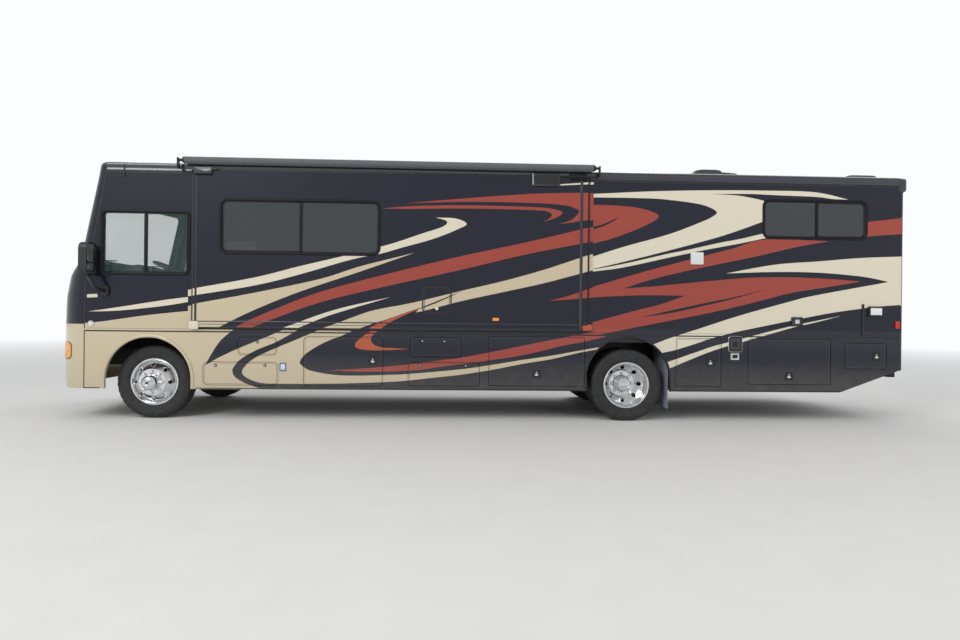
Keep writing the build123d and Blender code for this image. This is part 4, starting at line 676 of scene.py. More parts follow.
# Stripes of the driver's side, in pixels of the photograph. Each stripe is a closed outline of
# smooth runs that meet in corners. Later stripes lie over earlier ones.
CAB_STRIPES = [
    ("beige", [[(40, 324.8), (67, 324.2), (84, 323), (105, 321), (140, 316), (167, 313)], [(188, 311)],
               [(188, 306)], [(200, 303.6)], [(200, 345)], [(40, 345)]]),
    ("white", [[(88, 311.4), (114, 307.7), (140, 303.7), (167, 299.6)], [(188, 297)],
               [(188, 302), (167, 305.4), (140, 308.6), (114, 310.8)]]),
    ("white", [[(87, 294.2)], [(97.5, 293.8)], [(97.5, 297.1)], [(87, 297.5)]]),
    ("white", [[(188, 289.8)], [(200, 287.6)], [(200, 294.6)], [(188, 296.2)]]),
]
SLIDE_STRIPES = [
    ("white", [[(186, 290), (197.5, 288), (256, 277.5), (300, 266.5), (345, 256), (361, 252), (392, 244),
                (422, 234), (443, 227), (446.8, 221.6)],
               [(436, 218.1), (455, 218.8), (466.7, 224.2), (457, 230), (433, 239.4), (402, 248), (381, 254),
                (351, 260), (300, 274.7), (256, 285.5), (197.5, 295)], [(186, 296.8)]]),
    ("beige", [[(186, 305.9), (197.5, 303.4), (256, 292.7), (320, 279.3), (361, 266.5)],
               [(415, 253), (361, 271.6), (300, 292), (256, 309.6), (226, 324)], [(213, 331)], [(186, 336)]]),
    ("white", [[(275, 331), (300, 321.9), (325.5, 312.8), (351, 305.8)],
               [(391, 297.2), (351, 308.9), (325.5, 317), (300, 327.4)], [(290, 331.5)]]),
    ("red", [[(230, 331), (247, 321.5), (276, 309), (309, 296), (341, 286.2), (402, 270.6), (463, 256),
              (524.5, 243), (584, 229)], [(594, 226.8)], [(594, 241.2)],
             [(586, 243), (524.5, 255), (463, 269.6), (402, 283), (341, 297), (309, 306.2), (284, 315.2),
              (261, 324)], [(245, 331)]]),
    ("red", [[(405, 203.9), (431, 201.7), (482, 197.6), (512, 195.6), (545, 193.9)], [(594, 193.2)],
             [(594, 220.1)], [(583, 221), (572, 222.8)],
             [(558, 224.4), (569, 221.3), (575, 217), (578.6, 211.5), (573, 208.2), (565, 206), (539, 203.8),
              (482, 202.4), (431, 203)]]),
    ("red", [[(382, 209), (410, 206.8), (451, 205.8), (492, 206.3), (539, 207.9), (555, 210), (562, 213),
              (556, 218)], [(543, 222.4), (549.5, 218.5), (551.5, 215), (548, 212.6), (539, 210.9),
                            (492, 209.4), (451, 209), (410, 209.4)]]),
    ("beige", [[(314, 331.5), (340.8, 321.9), (371.4, 311), (402, 305), (422.4, 300.6), (463, 290.6),
                (504, 281), (545, 269.6), (586, 256)], [(594, 254.2)],
               [(594, 270), (545, 283), (504, 292), (460, 301.5), (426.5, 310.3)], [(416, 312.3)],
               [(420.4, 307.6), (386.7, 319.4), (373.5, 323.5)], [(351, 331.5)]]),
    ("copper", [[(463, 290.8), (441, 299.5), (422, 307.2), (404, 313.8), (387, 319.8), (373, 326)],
                [(366, 331.5)], [(377, 331.5), (382, 328), (391.8, 321.4), (412.2, 311.9), (430, 305.2)]]),
    ("dark", [[(463, 290.8), (450, 296), (437, 301.3)], [(424, 306.4)],
              [(423, 308.2), (437, 302.8), (450, 297)]]),
    ("white", [[(559.3, 184.9)], [(586, 183.2)], [(594, 181.8)], [(594, 184.4)], [(586, 185)],
               [(559.3, 186)]]),
    ("red", [[(549, 301), (566, 296.6), (580, 292)], [(594, 287)], [(594, 297.6), (576, 299)]]),
]
AFT_STRIPES = [
    ("white", [[(590, 194.1), (645, 191.6), (690, 190.5), (730, 190.3), (764, 190.6), (803, 191.4),
                (824.6, 193.8)],
               [(848.5, 199.7), (833.6, 199.1), (815.7, 196.9), (780, 195.4), (750, 194)],
               [(710, 193.9), (735, 195.3), (752, 198)], [(764, 200.8)],
               [(764, 221.3), (740, 230), (722, 236), (701, 242), (667, 251), (623, 262)], [(590, 269.6)],
               [(590, 257.6), (623, 247), (656, 238), (677, 231.5), (700, 222.5), (711, 217.5), (716.8, 212),
                (706, 206), (690, 202.5), (660, 199), (634, 198)], [(590, 197.3)]]),
    ("white", [[(768, 232.4), (740, 239), (721, 242.5), (687, 250), (667, 254), (623, 264)],
               [(590, 270)], [(590, 271.9), (623, 267.5), (667, 258), (705, 250), (740, 243.5)],
               [(770, 237.2)]]),
    ("red", [[(590, 204.8), (611, 205.3), (635, 207.3), (650, 211), (658.5, 215.4), (655, 220.5), (640, 228),
              (625, 234), (609, 239.5)], [(590, 244.2)], [(590, 230.6), (604, 226), (613, 221.5)],
             [(619, 216.8), (606, 223), (599, 225.3)], [(590, 227.2)]]),
    ("red", [[(590, 287.6), (612.5, 281), (645, 271.5), (688, 260), (731.8, 248.8), (767, 239.3)],
             [(829, 241.3), (797, 247), (753.5, 257), (710, 266), (667, 275.5), (640, 283)],
             [(623, 288.5), (656, 286.2), (710, 281), (753.5, 277.6), (797, 277.4), (840, 279.8)],
             [(861, 281.8), (818.5, 288.5), (790, 293.2), (749, 303.7), (708, 313.2), (645, 325.5),
              (612.5, 332)], [(590, 336.4)], [(590, 323), (634, 311), (660, 304.5)],
             [(685, 295.8), (647, 295.2), (612, 296.3)], [(590, 297.6)]]),
    ("dark", [[(640, 317.5), (672, 310.2), (707, 302.6), (735, 297)],
              [(768, 288.8), (735, 298.4), (707, 305.2), (672, 312.8)]]),
    ("white", [[(726, 273.4), (775, 264.7), (818.5, 261.4), (862, 258)], [(908, 256.4)],
               [(908, 304.4), (880, 306.5), (860.4, 308.8), (830, 313.2), (790.6, 320.8), (760, 327),
                (734.6, 332.3), (709.8, 338.9), (680, 347)], [(655, 355.5)],
               [(655, 343.6), (672, 337.3), (695.7, 329.8), (740, 315.5), (790, 301.6), (815, 295.5)],
               [(889, 282), (862, 276.6), (818.5, 272.7), (775, 272)]]),
    ("white", [[(655, 366.5), (710, 349), (741.7, 338.9), (790, 326.5)],
               [(842, 315.6), (815, 322.6), (790, 328.4), (742.9, 342), (721.4, 348), (690, 359)],
               [(655, 373)]]),
    ("red", [[(866, 222.3)], [(908, 217.4)], [(908, 233.6)], [(866, 236.6)]]),
]
SKIRT_STRIPES = [
    ("beige", [[(40, 320)], [(351, 320)],
               [(351, 331.6), (341, 336), (330, 340), (318.7, 345.4), (306, 353.6), (299.8, 361.7),
                (303, 366.5), (312, 371), (335.7, 375), (361, 375.6), (382, 375), (408, 374), (460, 369.4),
                (491, 365), (522, 360), (552, 355.6), (583, 350)], [(612, 345)],
               [(612, 347.4), (583, 352), (552, 359), (522, 364), (491, 370), (460, 374.8), (440, 377),
                (408, 380.5), (384.7, 382.1), (341, 383.5), (310, 383.8)], [(280, 384.5)], [(262, 400)],
               [(40, 400)]]),
    ("dark", [[(298.6, 329.5), (276, 342), (256.5, 350), (241, 359), (233.6, 367), (232.4, 371.7),
               (235.5, 377.5), (245, 383), (254.6, 386.6)], [(266, 391)], [(300, 400)],
              [(300, 383.8), (285, 383.8), (266, 383.4), (254.6, 381.3), (245, 376.5), (242, 371.7),
               (246, 365), (256.5, 357), (276, 348), (304, 336.4)], [(320, 329.5)]]),
    ("dark", [[(234.5, 329), (221, 340), (211.6, 353.6)],
              [(205, 365.5), (218, 358), (237, 349), (256.5, 341), (276, 333)], [(285, 329)]]),
    ("copper", [[(374, 328.5), (361, 337.8), (355, 344.4), (358, 348.5), (371.4, 350.3), (391.8, 350)],
                [(408.7, 349), (391.8, 348), (381.6, 347.4), (374.5, 344.9), (371, 340.8), (372.4, 335.7)],
                [(380.5, 328.5)]]),
    ("red", [[(327.6, 370.4), (361, 368.6), (392, 366), (422, 363), (440, 360.3), (460, 357.8),
              (489, 352.5), (529, 344.4), (562, 338), (583.7, 333.6)], [(600, 329.5)], [(622, 329.5)],
             [(614, 334.5), (600, 338), (583.7, 341.8), (562, 345.9), (543, 350.6), (520.6, 355.6),
              (489, 360.4), (478, 362), (440, 366.8), (422, 369.6), (392, 371.4), (361, 371.7)]]),
    ("white", [[(640, 349.5), (652, 345), (667, 339.2), (684, 333.4), (695.7, 329.8)], [(712, 324)],
               [(770, 324)], [(750, 328.6), (734.6, 332.3), (709.8, 338.9), (700, 342.3), (676, 349.9),
                              (660.9, 353.2)], [(640, 360)]]),
    ("white", [[(650, 368.4), (666.7, 362.4), (700, 350.8), (713, 346.4), (741.7, 338.9)], [(760, 334)],
               [(768, 334.4)], [(742.9, 341.9), (721.4, 348), (700, 355.7), (668.5, 368.8)], [(650, 376)]]),
]
# The slide-out's ends on the driver's side, in pixels, at the height of the middle of the wall.
SLIDE_ENDS_PX = (193.6, 592.6)
WALL_MIDDLE_PY = 300
SLIDE_LEAD_X, SLIDE_TRAIL_X = (on_side(px, WALL_MIDDLE_PY)[0] for px in SLIDE_ENDS_PX)


def placed(stripes):
    """Stripes as (paint, outline, extent) in metres on the driver's side."""
    loops = [(PAINT[colour], [on_side(px, py) for px, py in closed_loop(runs)]) for colour, runs in stripes]
    return [(paint, loop, extent(loop)) for paint, loop in loops]


STRIPES = {"cab": placed(CAB_STRIPES), "slide": placed(SLIDE_STRIPES), "aft": placed(AFT_STRIPES),
           "skirt": placed(SKIRT_STRIPES)}


def zone_at(x, z):
    """Which set of stripes covers a place on the side."""
    if z < BELT or (z < SLIDE_LOW.z and SLIDE_LEAD_X < x < SLIDE_TRAIL_X):
        return "skirt"
    if x < SLIDE_LEAD_X:
        return "cab"
    return "slide" if x < SLIDE_TRAIL_X else "aft"


def paint_at(x, z):
    """The paint of a place on the side: that of the last stripe that covers it."""
    chosen = PAINT["dark"]
    for paint, loop, (x0, x1, z0, z1) in STRIPES[zone_at(x, z)]:
        if x0 <= x <= x1 and z0 <= z <= z1 and inside((x, z), loop):
            chosen = paint
    return chosen


def zone_borders(box):
    """Thin closed lines along the borders between the sets of stripes that a panel crosses."""
    x0, x1, z0, z1 = box
    past = 0.05
    upright = [[(x, z0 - past), (x, z1 + past)] for x in (SLIDE_LEAD_X, SLIDE_TRAIL_X) if x0 < x < x1]
    level = [[(x0 - past, z), (x1 + past, z)] for z in (BELT, SLIDE_LOW.z) if z0 < z < z1]
    return upright + level


# Painted skins stand this far out from a panel and reach this far into it.
PAINT_PROUD = 0.0005
PAINT_SUNK = 0.0002


def painted_panel(name, body, side, outline, holes, face=SIDE, proud=PAINT_PROUD, slot="body_paint"):
    """A painted skin on a flat side panel, cut along the stripes."""
    box = x0, x1, z0, z1 = extent(outline)
    margin = 0.001
    zones = {zone_at(x, z) for x in (x0 + margin, (x0 + x1) / 2, x1 - margin)
             for z in (z0 + margin, (z0 + z1) / 2, z1 - margin)}
    loops = [outline] + holes + zone_borders(box)
    for zone in sorted(zones):
        loops += [loop for _, loop, size in STRIPES[zone] if overlap(size, box)]

    def keep(centre):
        return paint_at(*centre) if within(centre, outline, holes) else None

    def place(u, v, depth):
        return (u, side * (face + proud - depth), v)

    piece = Piece()
    slab(piece, loops, keep, place, proud + PAINT_SUNK)
    return piece.done(name, body, slot, angle=60.0)


# The sides' panels. Doors and hatches take their place and size from their own nodes.
DOOR_GAP = 0.006
DOOR_FRAME = 0.017
# corner radius of each opening
DOOR_ROUNDS = {
    "utility_hatch_left": 0.055, "locker_door_left_1": 0.068, "locker_door_left_2": 0.060,
    "service_hatch_left": 0.050, "locker_door_left_3": 0.050, "locker_door_left_4": 0.028,
    "locker_door_left_5": 0.028, "locker_door_left_6": 0.028, "locker_door_left_7": 0.050,
    "locker_door_right_1": 0.060, "locker_door_right_2": 0.028, "locker_door_right_3": 0.028,
}
# The belt rail's heights, the roof rail's lower edge, and the nose's seam: its x, the height where it
# bends and its lean above. The skirt's lower edge rises behind its bend to a height at the rear.
BELT_RAIL = (1.141, 1.163)
ROOF_RAIL_LOW = 3.209
SEAM_X = 0.590 - STATION_SHIFT
SEAM_BEND = 1.720
SEAM_LEAN = 0.1764
WALL_REAR = REAR_FACE - 0.060
TAIL_BEND = 10.417 - STATION_SHIFT
TAIL_HEIGHT = 0.695
SHARP = 0.001

# Windows and openings: first and last station, low and high z.
WINDOW_ROUND = 0.060
FRAME_ROUND = 0.089
CAB_WINDOW = (0.790, 1.885, 1.862, 2.662)
REAR_WINDOW = (9.355, 10.760, 2.445, 2.950)
MIDDLE_WINDOWS = [(3.300, 4.300, 2.080, 2.800), (5.200, 6.200, 2.080, 2.800)]
SLIDE_WINDOW = (2.285, 4.300, 2.140, 2.825)
ENTRY_WINDOW = (2.260, 2.740, 1.750, 2.560)
SLIDE_HOLE = (1.940, 7.010, 1.168, 3.205)
ENTRY_HOLE = (2.150, 2.850, 0.700, 2.760)
ENTRY_ROUND = 0.040

# axle station, radius and top of the arch, width and paint of its lip
FRONT_AXLE = 1.383
REAR_AXLE = 7.560
ARCHES = [(FRONT_AXLE, 0.540, 1.057, 0.034, PAINT["beige"]), (REAR_AXLE, 0.556, 1.108, 0.016, SEAL)]


def opening(row, radius=WINDOW_ROUND):
    """Outline of a window or an opening from its stations and heights."""
    s0, s1, z0, z1 = row
    return rounded(s0 - STATION_SHIFT, s1 - STATION_SHIFT, z0, z1, radius)


def door_loop(name, grow=0.0):
    """Outline of a locker door, grown outward."""
    low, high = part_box(name)
    radius = DOOR_ROUNDS[name] - DOOR_GAP
    return rounded(low.x - grow, high.x + grow, low.z - grow, high.z + grow, radius + grow)


def oblong(x0, x1, z0, z1):
    return [(x0, z0), (x1, z0), (x1, z1), (x0, z1)]


def seam_x(z):
    """Where the seam between the nose and the side lies at a height."""
    return SEAM_X + max(0.0, z - SEAM_BEND) * SEAM_LEAN


def arch_path(station, reach, centre, low, steps):
    """A wheel arch: a straight leg, a half round and the other leg."""
    x = station - STATION_SHIFT
    turns = [math.pi * k / steps for k in range(steps + 1)]
    arc = [(x + reach * math.cos(turn), centre + reach * math.sin(turn)) for turn in turns]
    return [(x + reach, low)] + arc + [(x - reach, low)]


def paint_sides():
    """Skins of the walls, skirts, rails, slide-out room, doors and their frames on both sides."""
    wall = [(SEAM_X, BELT_RAIL[1]), (WALL_REAR, BELT_RAIL[1]), (WALL_REAR, ROOF_RAIL_LOW),
            (seam_x(ROOF_RAIL_LOW), ROOF_RAIL_LOW), (SEAM_X, SEAM_BEND)]
    strip = oblong(SEAM_X, WALL_REAR, BELT, BELT_RAIL[0])
    rail = oblong(SEAM_X, WALL_REAR, *BELT_RAIL)
    skirt = [(SEAM_X, SKIRT_LOW), (TAIL_BEND, SKIRT_LOW), (WALL_REAR, TAIL_HEIGHT), (WALL_REAR, BELT),
             (SEAM_X, BELT)]
    arches = [arch_path(station, radius + lip, top - radius, SKIRT_LOW - 0.05, 40)
              for station, radius, top, lip, _ in ARCHES]
    entry = opening(ENTRY_HOLE, ENTRY_ROUND)
    windows = [opening(CAB_WINDOW), opening(REAR_WINDOW)]
    left = (-1, "left", windows + [opening(SLIDE_HOLE, SHARP)], [])
    right = (1, "right", windows + [opening(row) for row in MIDDLE_WINDOWS] + [entry], [entry])
    for side, tag, holes, low_holes in (left, right):
        doors = [name for name in DOOR_ROUNDS if tag in name]
        frames = [door_loop(name, DOOR_GAP) for name in doors]
        painted_panel("paint_wall_" + tag, "root", side, wall, holes)
        painted_panel("paint_strip_" + tag, "root", side, strip, low_holes)
        painted_panel("paint_rail_" + tag, "root", side, rail, low_holes, SIDE + 0.006)
        painted_panel("paint_skirt_" + tag, "root", side, skirt, arches + frames + low_holes)
        for name in doors:
            painted_panel("paint_" + name, name + "_body", side, door_loop(name), [])
            painted_panel("frame_" + name, "root", side, door_loop(name, DOOR_GAP + DOOR_FRAME),
                          [door_loop(name, DOOR_GAP)], SIDE + PAINT_PROUD, 0.0022)
    room = rounded(SLIDE_LOW.x, SLIDE_HIGH.x, SLIDE_LOW.z, SLIDE_HIGH.z, SHARP)
    painted_panel("paint_slide_room", "slide_out", -1, room, [opening(SLIDE_WINDOW)], SLIDE_FACE,
                  slot="room_shell")
    leaf = rounded(ENTRY_LOW.x, ENTRY_HIGH.x, ENTRY_LOW.z, ENTRY_HIGH.z, ENTRY_ROUND - DOOR_GAP)
    painted_panel("paint_entry_door", "entry", 1, leaf, [opening(ENTRY_WINDOW)])


# Places on the body that trim is set on: each takes two coordinates and how far it stands out.


def on_wall(side, face=SIDE):
    """Place on a side: x, z and the distance proud of a face."""
    return lambda u, v, out: (u, side * (face + out), v)


def on_rear(u, v, out):
    return (REAR_FACE + out, u, v)


# Rounded rectangles are rows of (u0, u1, v0, v1, radius).
LEAST_RADIUS = 0.0006
LEAST_RISE = 0.0002


def about(u, v, half_u, half_v, radius):
    """A rounded rectangle from its middle and half sizes."""
    return (u - half_u, u + half_u, v - half_v, v + half_v, radius)


def shrunk(row, by, radius=None):
    """A rounded rectangle drawn in all round; without another radius its corners shrink with it."""
    u0, u1, v0, v1, corner = row
    return (u0 + by, u1 - by, v0 + by, v1 - by, corner - by if radius is None else radius)


def pixel_row(x0, x1, y0, y1, radius, face=SIDE):
    """A rounded rectangle on the driver's side from its pixels in the photograph."""
    u0, v1 = on_side(x0, y0, face)
    u1, v0 = on_side(x1, y1, face)
    return (u0, u1, v0, v1, radius)


def pad(piece, row, profile, place, material, closed=False, along=0):
    """Lofts a rounded rectangle through (inset, out) rows of a profile."""
    loops = []
    for inset, out in profile:
        *sides, corner = shrunk(row, inset)
        loops.append([place(u, v, out) for u, v in rounded(*sides, max(corner, LEAST_RADIUS), along)])
    loft(piece, loops, material, closed)


def plate(piece, row, out, place, material, bevel=0.003, sunk=0.001, along=0):
    """A raised plate with a bevelled edge."""
    pad(piece, row, [(0.0, -sunk), (0.0, max(LEAST_RISE, out - bevel)), (bevel * 0.4, out - bevel * 0.3),
                     (bevel, out)], place, material, along=along)


def ring(piece, row, width, out, place, material, bevel=0.002, sunk=0.001, along=0):
    """A raised band of a given width along a rounded rectangle's inside."""
    pad(piece, row, [(0.0, -sunk), (0.0, out - bevel), (bevel, out), (width - bevel, out),
                     (width, out - bevel), (width, -sunk)], place, material, closed=True, along=along)


def louvres(piece, row, shares, margins, half, out, place, material, bevel):
    """Level slats across a plate: shares are their heights within it, margins the ends left free."""
    u0, u1, v0, v1, _ = row
    for share in shares:
        v = v0 + (v1 - v0) * share
        slat = (u0 + margins[0], u1 - margins[1], v - half, v + half, 0.004)
        plate(piece, slat, out, place, material, bevel)


# Nose. Its plan has straight sides, round corners and a bowed front at every height.
NOSE_LOW = 0.400
NOSE_TOP = 3.235
NOSE_ROWS = [
    # height, front station, station where the sides end, corner radius
    (NOSE_LOW, 0.095, 0.605, 0.420),
    (0.520, 0.015, 0.605, 0.450),
    (0.700, 0.000, 0.605, 0.450),
    (1.137, 0.000, 0.605, 0.450),
    (1.560, 0.040, 0.605, 0.430),
    (1.850, 0.085, 0.620, 0.360),
    (2.040, 0.235, 0.650, 0.200),
    (3.100, 0.480, 0.838, 0.150),
    (NOSE_TOP, 0.545, 0.860, 0.150),
]
NOSE_SOFTEN = 0.035
NOSE_SHELL = 0.040
# Openings of the nose and the rear: y, y, z, z and corner radius.
SCREEN = (-1.140, 1.140, 2.060, 3.010, 0.110)
HOOD = (-0.560, 0.560, 1.180, 1.600, 0.040)
GRILLE = (-0.470, 0.470, 0.640, 1.060, 0.040)
HEAD_LAMP = (0.640, 1.190, 0.770, 0.980, 0.040)
TAIL_LAMP = (1.080, 1.240, 1.000, 1.500, 0.040)
# a pixel on the upper edge of the nose's beige, and its height
NOSE_BEIGE_PX = (75, 323.8)
NOSE_BEIGE_TOP = on_side(*NOSE_BEIGE_PX)[1]


def nose_row(z):
    """Front station, end of the sides and corner radius at a height, between two rows."""
    low, high = next((pair for pair in zip(NOSE_ROWS, NOSE_ROWS[1:]) if z <= pair[1][0]), NOSE_ROWS[-2:])
    share = (z - low[0]) / (high[0] - low[0])
    return [a + share * (b - a) for a, b in zip(low[1:], high[1:])]


def nose_plan(z):
    """The plan at a height, its bends softened: front, end, corner, width, bow and where they meet."""
    rows = [nose_row(z + NOSE_SOFTEN * k) for k in (-1.0, -0.6, -0.2, 0.2, 0.6, 1.0)]
    front, start, corner = [sum(column) / len(rows) for column in zip(*rows)]
    reach = start - front
    width = SIDE - corner
    bow = (reach ** 2 + width ** 2 - corner ** 2) / (2 * (reach - corner))
    touch = width * bow / (bow - corner)
    first = math.atan2(width, bow - reach)
    return front, start, corner, width, bow, touch, first


def nose_spot(s, z):
    """Point and outward direction in plan; s runs -3 to 3: front, then corners, then sides."""
    front, start, corner, width, bow, touch, first = nose_plan(z)
    hand = -1.0 if s < 0 else 1.0
    t = abs(s)
    if t <= 1.0:
        y = t * touch
        station = front + bow - math.sqrt(bow * bow - y * y)
        facing = ((station - front - bow) / bow, y / bow)
    elif t <= 2.0:
        angle = first + (t - 1.0) * (math.pi / 2 - first)
        station = start - corner * math.cos(angle)
        y = width + corner * math.sin(angle)
        facing = (-math.cos(angle), math.sin(angle))
    else:
        end = seam_x(z) + STATION_SHIFT
        station = start + (end - start) * (t - 2.0)
        y = SIDE
        facing = (0.0, 1.0)
    return station - STATION_SHIFT, hand * y, facing[0], hand * facing[1]


def nose_point(s, z, depth):
    x, y, nx, ny = nose_spot(s, z)
    return (x - nx * depth, y - ny * depth, z)


def nose_facing(s, z):
    """The nose's own direction at a place, tilted as its profile leans."""
    step = 0.01
    low = Vector(nose_point(s, max(NOSE_LOW, z - step), 0.0))
    high = Vector(nose_point(s, min(NOSE_TOP, z + step), 0.0))
    _, _, nx, ny = nose_spot(s, z)
    along = Vector((-ny, nx, 0.0))
    return along.cross(high - low).normalized() * -1.0


def nose_s(y, z):
    """Where a distance from the middle falls along the nose's plan."""
    _, _, corner, width, _, touch, first = nose_plan(z)
    t = abs(y)
    if t <= touch:
        s = t / touch
    else:
        s = 1.0 + (math.asin(min(1.0, (t - width) / corner)) - first) / (math.pi / 2 - first)
    return math.copysign(s, y)


def on_nose(y, z, out):
    return nose_point(nose_s(y, z), z, -out)


def nose_loop(row, grow=0.0):
    """A rounded rectangle's outline, carried onto the nose's plan."""
    return [(nose_s(y, z), z) for y, z in finely(rounded(*shrunk(row, -grow)))]


def nose_grid():
    """Points spread over the nose: close together across the front and the corners."""
    low, high, rows = 0.46, 3.20, 46
    across = [k / 10.5 for k in range(-10, 11)]
    for hand in (-1, 1):
        across += [hand * (1.0 + (k + 0.5) / 9.0) for k in range(9)] + [hand * 2.0, hand * 2.5]
    return [(s, low + (high - low) * i / rows) for i in range(rows + 1) for s in across]


def nose_skin(name, outline, holes, depth, thickness, label, body="root", slot="cap_paint", replaces=(),
              border=None):
    """A curved plate that follows the nose; label(z) is its material, which changes at a border's height."""
    grid = [p for p in nose_grid() if within(p, outline, holes)]
    loops = [outline] + holes
    if border:
        grid = [p for p in grid if abs(p[1] - border) > 0.012] + [(k / 12.0, border) for k in range(-36, 37)]
        loops.insert(1, finely([(-3.0, border), (3.0, border)], 0.08))

    def keep(centre):
        return label(centre[1]) if within(centre, outline, holes) else None

    piece = Piece()
    slab(piece, loops, keep, lambda s, z, d: nose_point(s, z, depth + d), thickness, grid, nose_facing)
    return piece.done(name, body, slot, replaces)


def nose():
    """Front cap: a smooth shell, beige below the belt and dark above, and the hood's panel."""
    outline = finely(oblong(-3.0, 3.0, NOSE_LOW, NOSE_TOP), 0.08)
    y0, y1, *rest = HEAD_LAMP
    holes = [nose_loop(row) for row in (SCREEN, HOOD, GRILLE, HEAD_LAMP, (-y1, -y0, *rest))]
    nose_skin("nose_shell", outline, holes, 0.0, NOSE_SHELL,
              lambda z: PAINT["beige" if z < NOSE_BEIGE_TOP else "dark"], replaces=["front_cap"],
              border=NOSE_BEIGE_TOP)
    nose_skin("hood_panel", nose_loop(HOOD, -DOOR_GAP), [], 0.0, 0.030, lambda z: PAINT["dark"], "hood_lid",
              replaces=["hood"])


def nose_openings():
    """Windscreen with its black border and gasket, and the grille's surround."""
    full = nose_loop(SCREEN, -0.004)
    clear = nose_loop(SCREEN, -0.050)
    nose_skin("screen_glass", full, [], 0.006, 0.008, lambda z: CLEAR, slot="screen_glass",
              replaces=["windscreen"])
    nose_skin("screen_border", full, [clear], 0.0045, 0.0014, lambda z: GLOSS_BLACK, slot="screen_glass")
    piece = Piece()
    pad(piece, SCREEN, [(-0.008, -0.002), (-0.006, 0.004), (0.002, 0.004), (0.008, -0.003), (0.008, -0.012),
                        (-0.004, -0.012)], on_nose, SEAL, closed=True, along=40)
    pad(piece, GRILLE, [(0.001, -0.030), (0.001, -0.004), (0.004, -0.0005), (0.014, -0.0005),
                        (0.020, -0.008), (0.020, -0.030)], on_nose, CHROME, closed=True, along=24)
    piece.done("nose_gaskets", "root", "black_trim")


# Rear skin: both rounded corners and the rear wall as one band, measured along its plan.
REAR_ROUND = 0.055
REAR_STRAIGHT = 0.005
REAR_ARC = REAR_ROUND * math.pi / 2
REAR_FLAT = 2 * (SIDE - REAR_ROUND)
REAR_RUN = 2 * REAR_STRAIGHT + 2 * REAR_ARC + REAR_FLAT
REAR_FINE = 0.014
REAR_PROUD = 0.0015
REAR_SIDE_PX = 903
# paint, pixel height of its upper and lower edge at the corner, and each edge's rise near the
# corner and in the middle
REAR_BANDS = [("red", (217.9, 0.03, 0.10), (233.9, 0.02, 0.12)),
              ("white", (256.5, -0.02, -0.16), (304.8, 0.06, 0.16))]


def rear_spot(s):
    """Point and outward direction along the rear's plan, from the driver's side round to the kerb's."""
    middle = REAR_RUN / 2
    hand = -1.0 if s < middle else 1.0
    t = min(s, REAR_RUN - s)
    start = REAR_FACE - REAR_ROUND
    if t < REAR_STRAIGHT:
        return start - REAR_STRAIGHT + t, hand * SIDE, 0.0, hand
    if t < REAR_STRAIGHT + REAR_ARC:
        angle = (t - REAR_STRAIGHT) / REAR_ROUND
        across, back = math.cos(angle), math.sin(angle)
        return (start + REAR_ROUND * back, hand * (SIDE - REAR_ROUND + REAR_ROUND * across), back,
                hand * across)
    return REAR_FACE, s - middle, 1.0, 0.0


def rear_skin():
    """The side bands carried round the rear corners and across the rear wall."""
    run = REAR_RUN
    near = 0.5

    def edge(py, rise, top):
        z = on_side(REAR_SIDE_PX, py)[1]
        return [(0.0, z), (near, z + rise), (run / 2, z + top), (run - near, z + rise), (run, z)]

    bands = [(PAINT[colour], finely(closed_loop([edge(*upper), edge(*lower)[::-1]]), REAR_FINE))
             for colour, upper, lower in REAR_BANDS]
    outline = oblong(0.0, run, TAIL_HEIGHT, WALL_TOP)

    def keep(centre):
        if not inside(centre, outline):
            return None
        return next((paint for paint, loop in bands if inside(centre, loop)), PAINT["dark"])

    def place(s, z, depth):
        x, y, nx, ny = rear_spot(s)
        out = REAR_PROUD - depth
        return (x + nx * out, y + ny * out, z)

    def column(s, rows):
        return [(s, TAIL_HEIGHT + (WALL_TOP - TAIL_HEIGHT) * i / rows) for i in range(rows + 1)]

    turns = [REAR_STRAIGHT + REAR_ARC * k / 14 for k in range(15)]
    grid = [p for s in turns + [run - t for t in turns] for p in column(s, 140)]
    grid += [p for k in range(1, 12) for p in column(REAR_STRAIGHT + REAR_ARC + REAR_FLAT * k / 12, 24)]
    loops = [finely(outline, REAR_FINE)] + [loop for _, loop in bands]
    piece = Piece()
    slab(piece, loops, keep, place, REAR_PROUD + PAINT_SUNK, grid,
         lambda s, z: Vector((*rear_spot(s)[2:], 0.0)))
    piece.done("paint_rear", "root", "body_paint")


# Windows. Upright bars are given by their stations, the frame's profile by (inset, out) rows.
DRIVER_MULLION = 1.337
SLIDE_MULLION = 3.297
REAR_MULLION = 10.082
SASH_END = 0.030
FRAME_PROFILE = [(-0.016, 0.0), (-0.016, 0.003), (-0.012, 0.008), (-0.002, 0.012), (0.008, 0.011),
                 (0.017, 0.006), (0.021, 0.0), (0.028, -0.004), (0.028, -0.044), (0.0, -0.044), (0.0, 0.0)]


def window(piece, row, side, face, glass, mullion=None, sash=None, curve=FRAME_ROUND):
    """A framed window: flanged black frame, glass, an upright bar and a sliding sash, by stations."""
    s0, s1, z0, z1 = row
    place = on_wall(side, face)
    frame_row = (s0 - STATION_SHIFT, s1 - STATION_SHIFT, z0, z1, curve)
    pad(piece, frame_row, FRAME_PROFILE, place, FRAME, closed=True)
    pad(piece, shrunk(frame_row, 0.026), [(0.0, -0.018), (0.0, -0.010)], place, glass)
    if mullion:
        x = mullion - STATION_SHIFT
        pad(piece, (x - 0.019, x + 0.019, z0 + 0.024, z1 - 0.024, 0.002),
            [(0.0, -0.024), (0.0, -0.002), (0.004, 0.003)], place, FRAME)
    if sash:
        low, high = sash
        ring(piece, (low - STATION_SHIFT, high - STATION_SHIFT, z0 + 0.028, z1 - 0.028, curve - 0.030), 0.010,
             -0.004, place, TRIM, 0.002, 0.014)


